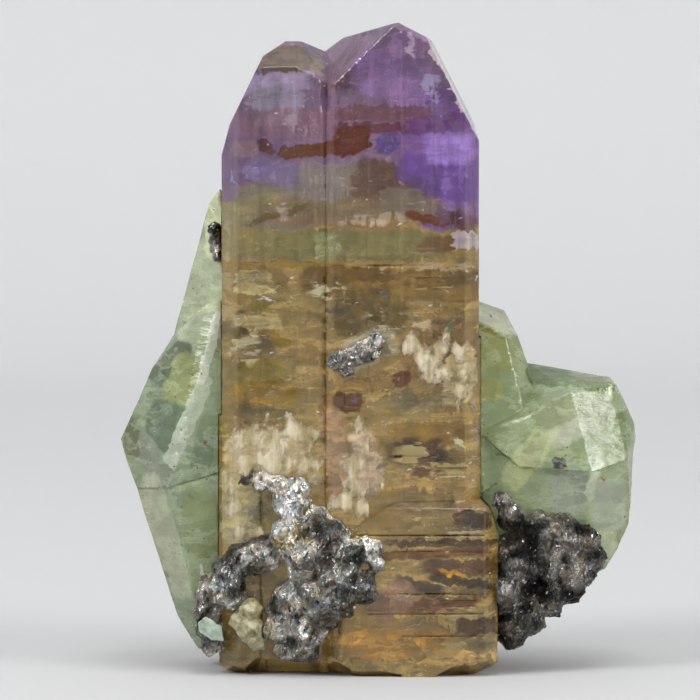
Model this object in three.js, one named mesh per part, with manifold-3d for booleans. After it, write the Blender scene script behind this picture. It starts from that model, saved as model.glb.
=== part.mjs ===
// Tanzanite with diopside: a mineral specimen of twin tanzanite prisms, green diopside crystals
// behind both edges, dark graphite at the foot and thin cream crusts on the front.
// Millimetres, +Z up, front towards -Y. The specimen stands on its broken, flattened foot.
import * as THREE from "three";
import { ConvexGeometry } from "three/addons/geometries/ConvexGeometry.js";
import { mergeVertices } from "three/addons/utils/BufferGeometryUtils.js";
import Module from "manifold-3d";

const wasm = await Module();
wasm.setup();

// Driving dimensions, in millimetres
const tipHeight = 25.93; // foot to the tip of the right-hand prism
const leftSide = -6.3; // left face of the left-hand prism
const rightSide = 3.98; // right face of the right-hand prism
const seam = -2.04; // groove where the two prisms meet
const leftFront = -3.22; // front face of the left-hand prism
const rightFront = -3.4; // front face of the right-hand prism
const backFace = 3.2; // back of the prisms
const blockTop = 7.0; // top of the block at the lower right
const blockFront = -3.84; // its front face, a little proud of the prism
const blockSide = 4.74; // its right face
const shoulder = 20.7; // where the left side starts to lean in
const hairGap = 0.05; // air between one piece and the next
const crustThickness = 0.34; // cream crusts on the front

const below = -1; // solids start under the foot and are cut off level at zero
const slabSize = 60; // a block larger than the specimen, for cutting a face

// Solids: the pieces are joined and cut as closed bodies

function solidFrom(geometry) {
  const bare = geometry.clone();
  bare.deleteAttribute("normal");
  bare.deleteAttribute("uv");
  const merged = mergeVertices(bare);
  return new wasm.Manifold(
    new wasm.Mesh({
      numProp: 3,
      vertProperties: new Float32Array(merged.attributes.position.array),
      triVerts: new Uint32Array(merged.index.array),
    }),
  );
}

function geometryFrom(solid) {
  const mesh = solid.getMesh();
  const geometry = new THREE.BufferGeometry();
  const corners = new Float32Array(mesh.vertProperties);
  geometry.setAttribute("position", new THREE.BufferAttribute(corners, 3));
  geometry.setIndex(new THREE.BufferAttribute(new Uint32Array(mesh.triVerts), 1));
  geometry.computeVertexNormals();
  return geometry;
}

const join = (solids) => solids.reduce((all, next) => all.add(next));

// The biggest body that a cut leaves: crumbs cut loose from it are dropped
function largest(solid) {
  const bodies = solid.decompose();
  return bodies.reduce((best, body) => (body.volume() > best.volume() ? body : best));
}

// A crystal with flat faces through its corner points
function hull(points) {
  return solidFrom(new ConvexGeometry(points.map((point) => new THREE.Vector3(...point))));
}

// An upright prism on a plan outline of [x, y] points
function prism(outline, low, high) {
  const shape = new THREE.Shape(outline.map(([x, y]) => new THREE.Vector2(x, y)));
  const geometry = new THREE.ExtrudeGeometry(shape, { depth: high - low, bevelEnabled: false });
  geometry.translate(0, 0, low);
  return solidFrom(geometry);
}

// A slab whose outline of [x, z] points is seen from the front
function slab(outline, front, back) {
  const shape = new THREE.Shape(outline.map(([x, z]) => new THREE.Vector2(x, z)));
  const geometry = new THREE.ExtrudeGeometry(shape, { depth: back - front, bevelEnabled: false });
  geometry.rotateX(Math.PI / 2);
  geometry.translate(0, back, 0);
  return solidFrom(geometry);
}

// Cuts a flat face: all that lies outside the plane through the point goes
function cutFace(solid, through, facing) {
  const outward = new THREE.Vector3(...facing).normalize();
  const turn = new THREE.Quaternion().setFromUnitVectors(new THREE.Vector3(0, 0, 1), outward);
  const box = new THREE.BoxGeometry(slabSize, slabSize, slabSize);
  box.translate(0, 0, slabSize / 2);
  box.applyQuaternion(turn);
  box.translate(...through);
  return solid.subtract(solidFrom(box));
}

const cutFaces = (solid, faces) =>
  faces.reduce((left, [through, facing]) => cutFace(left, through, facing), solid);

// The same solid with its sides pushed out, so that a neighbour cut by it keeps clear
function grown(solid, gap = hairGap) {
  const geometry = geometryFrom(solid);
  geometry.computeBoundingBox();
  const middle = geometry.boundingBox.getCenter(new THREE.Vector3());
  const size = geometry.boundingBox.getSize(new THREE.Vector3());
  geometry.translate(-middle.x, -middle.y, -middle.z);
  const reach = 2 * gap;
  geometry.scale((size.x + reach) / size.x, (size.y + reach) / size.y, (size.z + reach) / size.z);
  geometry.translate(middle.x, middle.y, middle.z);
  return solidFrom(geometry);
}

// The same run of random numbers from the same seed
function randomRun(seed) {
  let state = seed;
  return () => {
    state = (state + 0x6d2b79f5) | 0;
    let mixed = Math.imul(state ^ (state >>> 15), state | 1);
    mixed ^= mixed + Math.imul(mixed ^ (mixed >>> 7), mixed | 61);
    return ((mixed ^ (mixed >>> 14)) >>> 0) / 4294967296;
  };
}

// A rough lump with flat broken faces, from points spread evenly over an uneven ball
function lump([x, y, z], [across, deep, tall], seed, corners = 15) {
  const random = randomRun(seed);
  const goldenTurn = Math.PI * (3 - Math.sqrt(5));
  const points = [];
  for (let i = 0; i < corners; i += 1) {
    const rise = 1 - (2 * i + 1) / corners;
    const turn = i * goldenTurn + random();
    const reach = 1.0 + 0.32 * random();
    const ring = Math.sqrt(1 - rise * rise) * reach;
    points.push([
      x + across * ring * Math.cos(turn),
      y + deep * ring * Math.sin(turn),
      z + tall * rise * reach,
    ]);
  }
  return hull(points);
}

// Tanzanite: two prisms side by side, the block against their foot, and low ledges

function rightPrism() {
  const ledge = 0.06;
  const plan = [
    [seam - 0.3, 2.7],
    [seam, rightFront + 0.3],
    [seam + 0.3, rightFront],
    [-0.42, rightFront],
    [-0.38, rightFront - ledge],
    [0.9, rightFront - ledge],
    [0.94, rightFront],
    [2.1, rightFront],
    [2.14, rightFront + ledge],
    [3.4, rightFront + ledge],
    [rightSide, -2.85],
    [rightSide, -1.2],
    [rightSide - 0.05, -1.16],
    [rightSide - 0.05, 0.9],
    [3.2, 2.2],
    [2.2, backFace - 0.2],
    [-1.2, backFace],
  ];
  const faces = [
    // steep right face and the short one under the tip
    [[3.888, -2.85, 21.4], [0.885, -0.08, 0.447]],
    [[1.9, -2.6, 25.344], [0.46, -0.05, 0.888]],
    // three faces that fall to the groove
    [[seam, rightFront, 23.18], [-0.63, -0.45, 0.63]],
    [[0.34, -1, 25.84], [-0.24, -0.02, 0.97]],
    [[-1.2, 0, 25.48], [-0.57, 0.05, 0.82]],
    // narrow face beside the tip
    [[1.36, rightFront, 25.36], [0.35, -0.62, 0.7]],
    // back of the termination
    [[0.6, 1.1, 25.5], [0.12, 0.62, 0.78]],
    [[-1.4, 1.6, 24.3], [-0.5, 0.55, 0.66]],
    [[2.6, 1.5, 23.9], [0.7, 0.48, 0.53]],
  ];
  return cutFaces(prism(plan, below, tipHeight + 0.02), faces);
}

function leftPrism() {
  const ledge = 0.06;
  const plan = [
    [leftSide, 0.9],
    [leftSide, -0.9],
    [leftSide + 0.05, -0.94],
    [leftSide + 0.05, -2.45],
    [-5.54, leftFront],
    [-4.72, leftFront],
    [-4.68, leftFront + ledge],
    [-3.22, leftFront + ledge],
    [-3.18, leftFront],
    [seam - 0.3, leftFront],
    [seam, leftFront + 0.22],
    [seam + 0.4, 2.2],
    [-2.6, backFace - 0.4],
    [-5.1, 2.4],
    [-6.05, 1.5],
  ];
  const faces = [
    // left side: a very steep face, a steep one and a short one under the top
    [[leftSide, 0, shoulder], [-0.963, -0.02, 0.268]],
    [[-5.86, -1, 22.16], [-0.895, -0.04, 0.437]],
    [[-4.72, -1, 24.56], [-0.567, -0.02, 0.82]],
    // flat top and the fall to the groove
    [[-3.4, 0, 25.24], [0, 0, 1]],
    [[-3.04, 0, 25.22], [0.365, 0, 0.93]],
    // three faces that slope to the front
    [[-4.2, leftFront, 24.06], [-0.03, -0.6, 0.8]],
    [[-3.26, leftFront, 24.08], [0.27, -0.57, 0.78]],
    [[-2.5, leftFront, 23.76], [0.56, -0.45, 0.7]],
    // back of the termination
    [[-3.8, 0.9, 25.0], [-0.05, 0.64, 0.76]],
    [[-5.2, 1.3, 22.7], [-0.62, 0.56, 0.55]],
  ];
  return cutFaces(prism(plan, below, tipHeight), faces);
}

function footBlock() {
  const seenFromFront = [
    [-1.6, below],
    [blockSide, below],
    [blockSide, 5.68],
    [4.46, 6.56],
    [4.06, blockTop],
    [0.66, blockTop - 0.08],
    [-0.66, 6.08],
    [-1.6, 4.6],
  ];
  const faces = [
    // upright edges at the right, and the edge along the top of the front
    [[blockSide, -3.1, 0], [0.78, -0.62, 0]],
    [[blockSide, 1.4, 0], [0.8, 0.6, 0]],
    [[1, blockFront, blockTop - 0.3], [0.02, -0.55, 0.84]],
    [[-1.2, blockFront + 0.1, 4], [-0.6, -0.8, 0.1]],
  ];
  return cutFaces(slab(seenFromFront, blockFront, 2.6), faces);
}

// Low ledges that widen the sides of the prisms towards the foot
function sideLedges() {
  const rightLedge = [
    [3.2, -2.9],
    [rightSide + 0.08, -2.5],
    [rightSide + 0.08, 0.6],
    [3.2, 1.2],
  ];
  const leftLedge = [
    [-5.6, 1.2],
    [leftSide - 0.08, 0.7],
    [leftSide - 0.08, -2.1],
    [-5.6, -2.7],
  ];
  return [prism(rightLedge, below, 13.4), prism(leftLedge, below, 10.3)];
}

// A horizontal parting: a shallow groove across a front face
function parting([from, to], height, front, depth) {
  const half = 0.07;
  const sides = [from, to].flatMap((x) => [
    [x, front - 0.2, height - 2 * half],
    [x, front - 0.2, height + 2 * half],
    [x, front + depth, height],
  ]);
  return hull(sides);
}

// An etch pit: a shallow four-sided hollow in a front face
function etchPit([x, z], [width, height], front, depth) {
  const corners = [];
  for (const [reach, y] of [[0.56, front - 0.1], [0.42, front + depth]]) {
    corners.push([x - width * reach, y, z - height * reach]);
    corners.push([x + width * reach, y, z - height * reach * 0.8]);
    corners.push([x + width * reach, y, z + height * reach]);
    corners.push([x - width * reach, y, z + height * reach * 0.9]);
  }
  return hull(corners);
}

// A chip off the front edge of the foot, higher or lower at its two ends
function footChip([from, to], [heightFrom, heightTo], front, depth) {
  const reach = 1;
  const corners = [];
  for (const [x, height] of [[from, heightFrom], [to, heightTo]]) {
    const slope = height / depth;
    corners.push([x, front - reach, below - 1]);
    corners.push([x, front - reach, height + reach * slope]);
    corners.push([x, front + depth + 1 / Math.max(slope, 0.2), below - 1]);
    corners.push([x, front + depth, 0]);
  }
  return hull(corners);
}

function tanzaniteParts() {
  return [rightPrism(), leftPrism(), footBlock(), ...sideLedges()];
}

function tanzanite() {
  const cuts = [
    // partings over the faces of the block and across the prisms
    parting([-0.9, 5.2], 5.62, blockFront, 0.1),
    parting([0.3, 5.2], 4.98, blockFront, 0.07),
    parting([0.2, 5.2], 3.3, blockFront, 0.1),
    parting([-0.5, 5.2], 2.5, blockFront, 0.08),
    parting([0.9, 5.2], 1.62, blockFront, 0.09),
    parting([-6.5, -2.4], 16.42, leftFront, 0.06),
    parting([-0.9, 4.2], 16.3, rightFront, 0.06),
    parting([1.2, 4.2], 14.9, rightFront, 0.07),
    parting([-6.5, -3.6], 12.96, leftFront, 0.06),
    parting([0.6, 4.2], 8.74, rightFront, 0.08),
    // etch pits
    etchPit([2.9, 8.1], [1.5, 0.46], rightFront, 0.14),
    etchPit([-0.9, 11.0], [1.0, 0.8], rightFront, 0.1),
    etchPit([2.2, 15.6], [1.7, 0.5], rightFront, 0.12),
    etchPit([-4.9, 13.7], [1.2, 0.5], leftFront, 0.1),
    etchPit([1.5, 19.0], [0.9, 0.6], rightFront, 0.08),
    etchPit([3.1, 2.9], [1.5, 0.34], blockFront, 0.12),
    // chipped front edge of the foot, from left to right
    footChip([-6.6, -5.34], [0.5, 0.28], leftFront, 0.9),
    footChip([-5.34, -4.5], [0.28, 0.68], leftFront, 1.1),
    footChip([-4.5, -2.3], [0.68, 0.56], leftFront, 1.2),
    footChip([-2.3, -1.1], [0.56, 0.2], rightFront, 0.9),
    footChip([-1.1, 0.9], [0.24, 0.1], blockFront, 0.7),
    footChip([2.3, 3.6], [0.08, 0.42], blockFront, 0.8),
    footChip([3.6, 5.0], [0.42, 0.7], blockFront, 1.0),
  ];
  const foot = [
    // level base, with its left and right ends broken off higher
    [[0, 0, 0], [0, 0, -1]],
    [[leftSide, 0, 0.48], [-0.5, 0.06, -0.86]],
    [[blockSide, 0, 0.68], [0.5, 0.04, -0.86]],
  ];
  return largest(cutFaces(join(tanzaniteParts()).subtract(join(cuts)), foot));
}

// Diopside: crystals with flat faces, grown against the back edges of the tanzanite

const leftBlade = [
  [-6.45, 0.6, 19.36],
  [-5.6, 2.6, 19.0],
  [-4.6, 3.3, 17.6],
  [-6.86, 0.1, 18.75],
  [-7.05, 0.2, 17.7],
  [-7.0, 2.2, 17.2],
  [-8.3, 0, 13.4],
  [-8.1, 2.6, 12.8],
  [-8.6, -0.6, 9],
  [-8, 3.6, 8],
  [-3.2, 4.6, 9],
  [-3.4, 4.4, 15],
  [-6.2, -1.0, 17.5],
  [-6.2, -1.7, 12],
];
const leftCrystal = [
  [-6.34, -1.95, 14.9],
  [-6.94, -1.72, 14.7],
  [-6.2, -1.9, 14.2],
  [-8.62, -1.95, 9.0],
  [-8.34, -2.6, 7.45],
  [-6.2, -2.05, 8.06],
  [-8.24, -0.4, 13.5],
  [-9.14, -0.2, 12.1],
  [-9.9, -0.1, 10.42],
  [-10.44, 0.1, 9.2],
  [-10.3, 0.0, 8.6],
  [-9.74, -1.0, 7.28],
  [-9.7, 2.4, 9.6],
  [-7.6, 3.8, 12.6],
  [-6.2, 3.2, 14.6],
  [-6, 4.4, 8],
  [-9.2, 2.4, 7.4],
];
const leftFootCrystal = [
  [-8.32, -2.56, 7.45],
  [-7.8, -2.4, 5.68],
  [-7.36, -2.1, 2.9],
  [-9.74, -0.95, 7.28],
  [-9.26, -0.7, 6.4],
  [-8.78, -0.65, 5.08],
  [-8.44, -0.6, 3.3],
  [-8.14, -0.5, 2.08],
  [-7.5, -0.3, 1.4],
  [-7.3, -0.3, 0.7],
  [-6.2, -2.0, 8],
  [-6.2, -1.9, 4.5],
  [-6.4, -1.7, 2.2],
  [-6.7, -0.9, 0.7],
  [-9.3, 1.6, 8.2],
  [-8.8, 2.4, 5.6],
  [-7.6, 2.6, 2],
  [-6.8, 2.4, 0.6],
  [-7.6, 3.3, 9.6],
  [-4.6, 4.3, 9.2],
  [-4.2, 4.0, 4.0],
  [-4.8, 3.6, 1.2],
];

const rightTallCrystal = [
  [3.8, 0.8, 14.9],
  [5.14, 0.8, 14.44],
  [5.62, -0.9, 13.44],
  [5.06, -1.6, 13.56],
  [3.8, -1.75, 14.12],
  [6.02, -0.9, 12.3],
  [3.8, -2.1, 7],
  [6.3, -1.9, 8.5],
  [6.9, -0.6, 9],
  [3.6, 3.2, 14.2],
  [4.9, 3.4, 13.6],
  [5.8, 3.2, 11],
  [6.5, 3, 7.5],
  [2.4, 4.6, 12],
  [2.2, 4.8, 6],
];
const rightBlockCrystal = [
  [6.14, 1.4, 12.24],
  [6.42, 1.4, 12.21],
  [9.42, 0.6, 11.7],
  [9.62, -0.4, 11.44],
  [9.34, -1.1, 11.4],
  [7.7, -2.1, 11.24],
  [6.94, -2.36, 10.9],
  [6.3, -2.5, 10.4],
  [5.6, -2.66, 8.3],
  [8.5, -2.76, 8.1],
  [10.0, -1.7, 8.5],
  [9.94, -0.6, 10.84],
  [10.4, 0.0, 9.88],
  [10.48, 0.2, 9.3],
  [10.4, 0.1, 8.8],
  [10.1, 0.1, 8.5],
  [6.0, 3.4, 11.6],
  [9.2, 2.8, 11],
  [10.0, 2.4, 8.9],
  [5.0, 3.6, 8.0],
  [4.0, -1.9, 9.6],
  [3.6, 2.4, 8.6],
];
const rightFootCrystal = [
  [10.42, 0.2, 9.4],
  [10.0, -1.5, 8.5],
  [8.5, -2.5, 8.4],
  [6.0, -2.4, 8.2],
  [9.98, -1.2, 7.44],
  [10.18, -0.8, 6.6],
  [10.12, -0.6, 5.84],
  [9.7, -0.5, 4.8],
  [9.2, -0.4, 3.98],
  [7.6, -2.0, 5.6],
  [7.5, -0.5, 3.2],
  [5.4, 0, 2],
  [9.7, 2.6, 9.3],
  [9.8, 2.4, 6.5],
  [8.8, 2.2, 4.2],
  [5, 3.8, 3],
  [3, 4.5, 5],
  [4.4, 4.2, 9.4],
  [4.2, -1.9, 8.8],
  [4.2, -1.8, 6.0],
];

const diopsideLeftSolid = () => join([leftBlade, leftCrystal, leftFootCrystal].map(hull));

const diopsideRightSolid = () =>
  join([rightTallCrystal, rightBlockCrystal, rightFootCrystal].map(hull));

// Graphite and crusts: rough lumps grown together, given as [x, depth, z, radius, bulge]

const lumpsOf = (list, firstSeed) =>
  list.map(([x, y, z, radius, bulge], i) =>
    lump([x, y, z], [radius, bulge, radius], firstSeed + i),
  );

const frontGraphiteLumps = [
  // thin branch that climbs the front of the left-hand prism
  [-4.62, -3.25, 7.72, 0.42, 0.34],
  [-3.94, -3.25, 7.56, 0.5, 0.42],
  [-3.2, -3.25, 7.5, 0.48, 0.42],
  [-3.7, -3.25, 6.96, 0.6, 0.5],
  [-3.14, -3.25, 6.5, 0.68, 0.62],
  [-2.42, -3.25, 6.2, 0.66, 0.66],
  // shoulder down to the right
  [-1.74, -3.35, 5.6, 0.78, 0.8],
  [-1.0, -3.45, 5.0, 0.78, 0.9],
  [-0.36, -3.75, 5.04, 0.54, 0.5],
  [-0.1, -3.75, 4.5, 0.44, 0.42],
  // main mass
  [-2.74, -3.3, 4.6, 1.1, 1.3],
  [-1.6, -3.45, 3.9, 1.15, 1.3],
  [-0.7, -3.7, 3.6, 0.8, 0.8],
  [-2.4, -3.3, 3.1, 1.2, 1.5],
  [-3.3, -3.25, 2.9, 1.0, 1.3],
  [-1.5, -3.5, 2.75, 0.62, 1.0],
  [-3.7, -3.25, 2.0, 0.86, 1.1],
  [-2.9, -3.25, 1.8, 1.0, 1.2],
  [-3.5, -3.2, 1.06, 0.62, 0.9],
  [-2.9, -3.2, 1.1, 0.6, 0.8],
  // ridge towards the left
  [-3.6, -3.3, 5.4, 0.9, 0.95],
  [-4.6, -3.2, 4.84, 0.8, 0.85],
  [-5.4, -3.1, 4.6, 0.78, 0.85],
  [-6.02, -3.0, 4.1, 0.68, 0.8],
  // left edge, in front of the green crystal
  [-6.6, -2.8, 3.3, 0.66, 0.85],
  [-6.8, -2.6, 2.6, 0.58, 0.8],
  [-6.8, -2.5, 1.9, 0.52, 0.8],
  [-6.6, -2.5, 1.3, 0.54, 0.8],
  [-5.84, -3.1, 3.3, 0.66, 0.75],
  [-5.74, -3.1, 2.9, 0.4, 0.5],
];

const rightGraphiteLumps = [
  [4.9, -3.0, 6.9, 0.34, 0.42],
  [5.26, -2.7, 6.3, 0.6, 0.7],
  [6.2, -2.4, 5.5, 0.85, 1.0],
  [7.2, -2.2, 5.5, 0.85, 1.0],
  [8.08, -1.8, 5.2, 0.8, 1.0],
  [8.5, -1.4, 4.5, 0.66, 1.0],
  [8.1, -1.4, 3.9, 0.7, 1.0],
  [7.4, -1.7, 3.6, 0.9, 1.1],
  [6.5, -1.8, 3.3, 1.1, 1.2],
  [5.9, -1.9, 2.2, 0.84, 1.0],
  [5.4, -1.9, 1.6, 0.72, 0.9],
  [5.3, -2.3, 3.4, 1.15, 1.2],
  [5.7, -2.4, 4.6, 1.1, 1.1],
  [6.8, -2.3, 4.5, 1.1, 1.1],
  [5.5, -0.3, 2.6, 1.0, 1.3],
  [5.2, 1.0, 2.4, 1.0, 1.3],
  [4.6, 2.2, 2.6, 1.1, 1.2],
  [3.6, 3.1, 2.2, 1.1, 0.9],
  [2.3, 3.5, 1.8, 1.0, 0.7],
];

const patchLumps = [
  [-1.55, -3.46, 12.5, 0.42, 0.28],
  [-1.0, -3.46, 12.66, 0.44, 0.34],
  [-0.6, -3.5, 12.96, 0.42, 0.34],
  [-0.1, -3.5, 13.3, 0.36, 0.26],
  [-0.25, -3.48, 12.8, 0.34, 0.22],
  [-1.3, -3.46, 12.12, 0.3, 0.22],
];

const flakeLumps = [
  [-6.56, -1.05, 17.72, 0.24, 0.4],
  [-6.54, -1.15, 17.34, 0.26, 0.42],
  [-6.52, -1.2, 16.96, 0.24, 0.4],
  [-6.5, -1.25, 16.62, 0.2, 0.36],
];

// Crust lumps as [x, z, radius] on a flat front face
const leftCrustLumps = [
  [-5.9, 9.2, 0.5],
  [-5.3, 9.8, 0.5],
  [-4.7, 9.5, 0.6],
  [-5.6, 8.5, 0.6],
  [-4.9, 8.8, 0.65],
  [-4.2, 9.4, 0.55],
  [-3.6, 9.9, 0.5],
  [-3.4, 9.2, 0.6],
  [-2.9, 8.7, 0.6],
  [-4.1, 8.6, 0.65],
  [-3.4, 8.3, 0.55],
  [-5.8, 7.7, 0.55],
  [-5.8, 6.9, 0.5],
  [-5.7, 6.1, 0.6],
  [-5.0, 5.9, 0.5],
  [-2.6, 9.5, 0.45],
  [-2.5, 8.1, 0.45],
];
const middleCrustLumps = [
  [-1.5, 7.0, 0.5],
  [-0.9, 7.5, 0.6],
  [-0.9, 8.3, 0.65],
  [-0.4, 8.9, 0.6],
  [-0.8, 9.6, 0.5],
  [0.1, 8.2, 0.55],
  [-0.1, 7.4, 0.5],
  [-0.5, 6.7, 0.5],
  [0.4, 7.7, 0.4],
];
const rightCrustLumps = [
  [1.3, 13.3, 0.5],
  [1.6, 12.6, 0.6],
  [2.3, 12.9, 0.65],
  [3.0, 13.2, 0.6],
  [3.3, 12.4, 0.6],
  [2.6, 12.1, 0.6],
  [1.9, 11.8, 0.55],
  [3.2, 11.6, 0.55],
  [2.6, 11.3, 0.45],
  [3.3, 13.8, 0.4],
];

// A crust: flat lumps on the front face
function crust(list, front, firstSeed) {
  const flat = list.map(([x, z, radius], i) =>
    lump([x, front, z], [radius, crustThickness, radius], firstSeed + i, 14),
  );
  return join(flat);
}

const chipCorners = [
  [-7.18, -3.6, 2.14],
  [-6.86, -3.72, 2.38],
  [-6.2, -3.9, 2.02],
  [-6.14, -3.84, 1.42],
  [-6.7, -3.74, 1.48],
  [-7.14, -3.6, 1.78],
  [-7.0, -3.0, 2.1],
  [-6.3, -3.0, 1.96],
  [-6.4, -3.0, 1.5],
];

const crumbLumps = [
  [-5.1, -3.5, 2.6, 0.48, 0.6],
  [-5.05, -3.5, 1.95, 0.52, 0.6],
  [-4.8, -3.4, 1.4, 0.4, 0.5],
  [-5.5, -3.4, 2.2, 0.4, 0.5],
];

// The whole specimen: each piece is cut clear of those that it grew against

const material = (color, roughness, metalness = 0) =>
  new THREE.MeshStandardMaterial({ color, roughness, metalness });

const violetBrown = material(0x8a6f6a, 0.12);
const paleGreen = material(0x93a678, 0.25);
const mint = material(0xb4c4b0, 0.3);
const graphite = material(0x6d6a68, 0.35, 0.85);
const cream = material(0xcfc2a6, 0.7);
const olive = material(0xa89a6a, 0.5);

const tanzaniteSolid = tanzanite();
const tanzaniteRoom = join(tanzaniteParts().map((part) => grown(part)));

const leftDiopside = largest(diopsideLeftSolid().subtract(tanzaniteRoom));
const rightDiopside = largest(diopsideRightSolid().subtract(tanzaniteRoom));
const roomFor = (crystals) => join(crystals.map((points) => grown(hull(points))));
const diopsideRoom = roomFor([leftBlade, leftCrystal, leftFootCrystal]).add(
  roomFor([rightTallCrystal, rightBlockCrystal, rightFootCrystal]),
);
const crystalRoom = tanzaniteRoom.add(diopsideRoom);

const frontLumps = lumpsOf(frontGraphiteLumps, 11);
const frontRoom = join(frontLumps.map((part) => grown(part)));
const frontGraphite = largest(join(frontLumps).subtract(crystalRoom));
const rightGraphite = largest(join(lumpsOf(rightGraphiteLumps, 71)).subtract(crystalRoom));
const patch = largest(join(lumpsOf(patchLumps, 131)).subtract(tanzaniteRoom));
const flake = largest(join(lumpsOf(flakeLumps, 151)).subtract(crystalRoom));
const chip = largest(hull(chipCorners).subtract(crystalRoom).subtract(frontRoom));
const chipRoom = grown(hull(chipCorners));
const crumbSolid = join(lumpsOf(crumbLumps, 171)).subtract(crystalRoom);
const crumb = largest(crumbSolid.subtract(frontRoom).subtract(chipRoom));
const crustSolid = (list, front, firstSeed) =>
  largest(crust(list, front, firstSeed).subtract(tanzaniteRoom).subtract(frontRoom));
const leftCrust = crustSolid(leftCrustLumps, leftFront, 211);
const middleCrust = crustSolid(middleCrustLumps, rightFront, 241);
const rightCrust = crustSolid(rightCrustLumps, rightFront, 271);

const pieces = [
  ["tanzanite", tanzaniteSolid, violetBrown],
  ["diopside_left", leftDiopside, paleGreen],
  ["diopside_right", rightDiopside, paleGreen],
  ["graphite_front", frontGraphite, graphite],
  ["graphite_right", rightGraphite, graphite],
  ["graphite_patch", patch, graphite],
  ["graphite_flake", flake, graphite],
  ["diopside_chip", chip, mint],
  ["crumb", crumb, olive],
  ["crust_left", leftCrust, cream],
  ["crust_middle", middleCrust, cream],
  ["crust_right", rightCrust, cream],
];

const specimen = new THREE.Group();
for (const [name, solid, finish] of pieces) {
  const mesh = new THREE.Mesh(geometryFrom(solid), finish);
  mesh.name = name;
  specimen.add(mesh);
}

// The origin is at the middle of the foot of the specimen's box
const box = new THREE.Box3().setFromObject(specimen);
const middle = box.getCenter(new THREE.Vector3());
specimen.children.forEach((mesh) => mesh.position.set(-middle.x, -middle.y, -box.min.z));

export default specimen;
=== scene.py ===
import math

import bmesh
import bpy
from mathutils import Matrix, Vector, noise


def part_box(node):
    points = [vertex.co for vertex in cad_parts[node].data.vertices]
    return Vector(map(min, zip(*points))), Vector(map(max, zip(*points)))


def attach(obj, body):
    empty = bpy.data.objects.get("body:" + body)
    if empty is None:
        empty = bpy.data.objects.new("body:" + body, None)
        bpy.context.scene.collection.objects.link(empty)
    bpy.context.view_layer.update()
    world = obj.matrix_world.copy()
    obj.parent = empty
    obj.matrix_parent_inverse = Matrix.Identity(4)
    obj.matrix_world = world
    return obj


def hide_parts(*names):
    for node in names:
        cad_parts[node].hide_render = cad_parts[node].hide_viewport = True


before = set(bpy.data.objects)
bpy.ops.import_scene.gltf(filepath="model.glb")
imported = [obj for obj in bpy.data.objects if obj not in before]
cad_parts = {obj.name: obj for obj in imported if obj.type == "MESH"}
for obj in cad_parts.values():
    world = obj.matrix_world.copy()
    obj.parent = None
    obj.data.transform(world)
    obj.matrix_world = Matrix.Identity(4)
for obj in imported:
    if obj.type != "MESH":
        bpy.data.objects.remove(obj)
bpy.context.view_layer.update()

# Camera
# It stands far off and level with the middle of the specimen, looking a little down on the foot.
# Places on the specimen are written in millimetres from the groove side of its foot, as measured
# on the front, and place() turns them into the frame's metres.

mm = 0.001
tanzanite_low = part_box("tanzanite")[0]
origin = Vector((tanzanite_low.x + 6.38 * mm, tanzanite_low.y + 3.84 * mm, 0))


def place(x, y, z):
    return origin + Vector((x, y, z)) * mm


camera_lens = 180
camera_sensor = 36
camera_distance = 140 * mm
camera_rise = math.radians(2.0)
camera_target = place(-1.14, -2.0, 12.9)

camera = bpy.data.objects.new("camera", bpy.data.cameras.new("camera"))
camera.data.lens = camera_lens
camera.data.sensor_width = camera_sensor
camera.data.clip_start = 1 * mm
camera.data.clip_end = 2000 * mm
away = Vector((0, -math.cos(camera_rise), math.sin(camera_rise)))
camera.location = camera_target + away * camera_distance
camera.rotation_euler = (-away).to_track_quat("-Z", "Y").to_euler()
bpy.context.scene.collection.objects.link(camera)
bpy.context.scene.camera = camera

# Stage
# A plain pale floor that curves up into a plain wall all round, open to a pale sky above, and
# large soft lamps: the light of a small product table.


def add(tree, kind, inputs=None, **settings):
    """A node of this kind with its settings, and its inputs linked or set."""
    made = tree.nodes.new(kind)
    for name, value in settings.items():
        setattr(made, name, value)
    for name, value in (inputs or {}).items():
        if isinstance(value, bpy.types.NodeSocket):
            tree.links.new(value, made.inputs[name])
        else:
            made.inputs[name].default_value = value
    return made


def linear(colour):
    """The linear colour of six hexadecimal digits."""
    parts = [int(colour[i : i + 2], 16) / 255 for i in (0, 2, 4)]
    return (*[p / 12.92 if p < 0.04045 else ((p + 0.055) / 1.055) ** 2.4 for p in parts], 1)


def new_material(name):
    """An empty node material: its tree and its Principled shader."""
    made = bpy.data.materials.new(name)
    made.use_nodes = True
    return made, made.node_tree, made.node_tree.nodes["Principled BSDF"]


def show(name, mesh, material):
    """A mesh as an object at the origin, with its material."""
    made = bpy.data.objects.new(name, mesh)
    mesh.materials.clear()
    mesh.materials.append(material)
    bpy.context.scene.collection.objects.link(made)
    return made


floor_radius = 250 * mm
cove_radius = 100 * mm
wall_top = 300 * mm
cove_steps = 16
wall_sides = 96


def stage_profile():
    points = [(0, 0), (floor_radius / 3, 0), (floor_radius, 0)]
    for i in range(1, cove_steps + 1):
        turn = math.pi / 2 * i / cove_steps
        across = floor_radius + cove_radius * math.sin(turn)
        points.append((across, cove_radius * (1 - math.cos(turn))))
    return [*points, (floor_radius + cove_radius, wall_top)]


def stage_mesh():
    profile = stage_profile()
    shell = bmesh.new()
    rings = [[shell.verts.new((0, 0, 0))]]
    for radius, height in profile[1:]:
        turns = [2 * math.pi * i / wall_sides for i in range(wall_sides)]
        rings.append([shell.verts.new((radius * math.cos(t), radius * math.sin(t), height)) for t in turns])
    for i in range(wall_sides):
        j = (i + 1) % wall_sides
        shell.faces.new((rings[0][0], rings[1][i], rings[1][j]))
        for inner, outer in zip(rings[1:], rings[2:]):
            shell.faces.new((inner[i], outer[i], outer[j], inner[j]))
    for face in shell.faces:
        face.smooth = True
    mesh = bpy.data.meshes.new("stage")
    shell.to_mesh(mesh)
    return mesh


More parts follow.
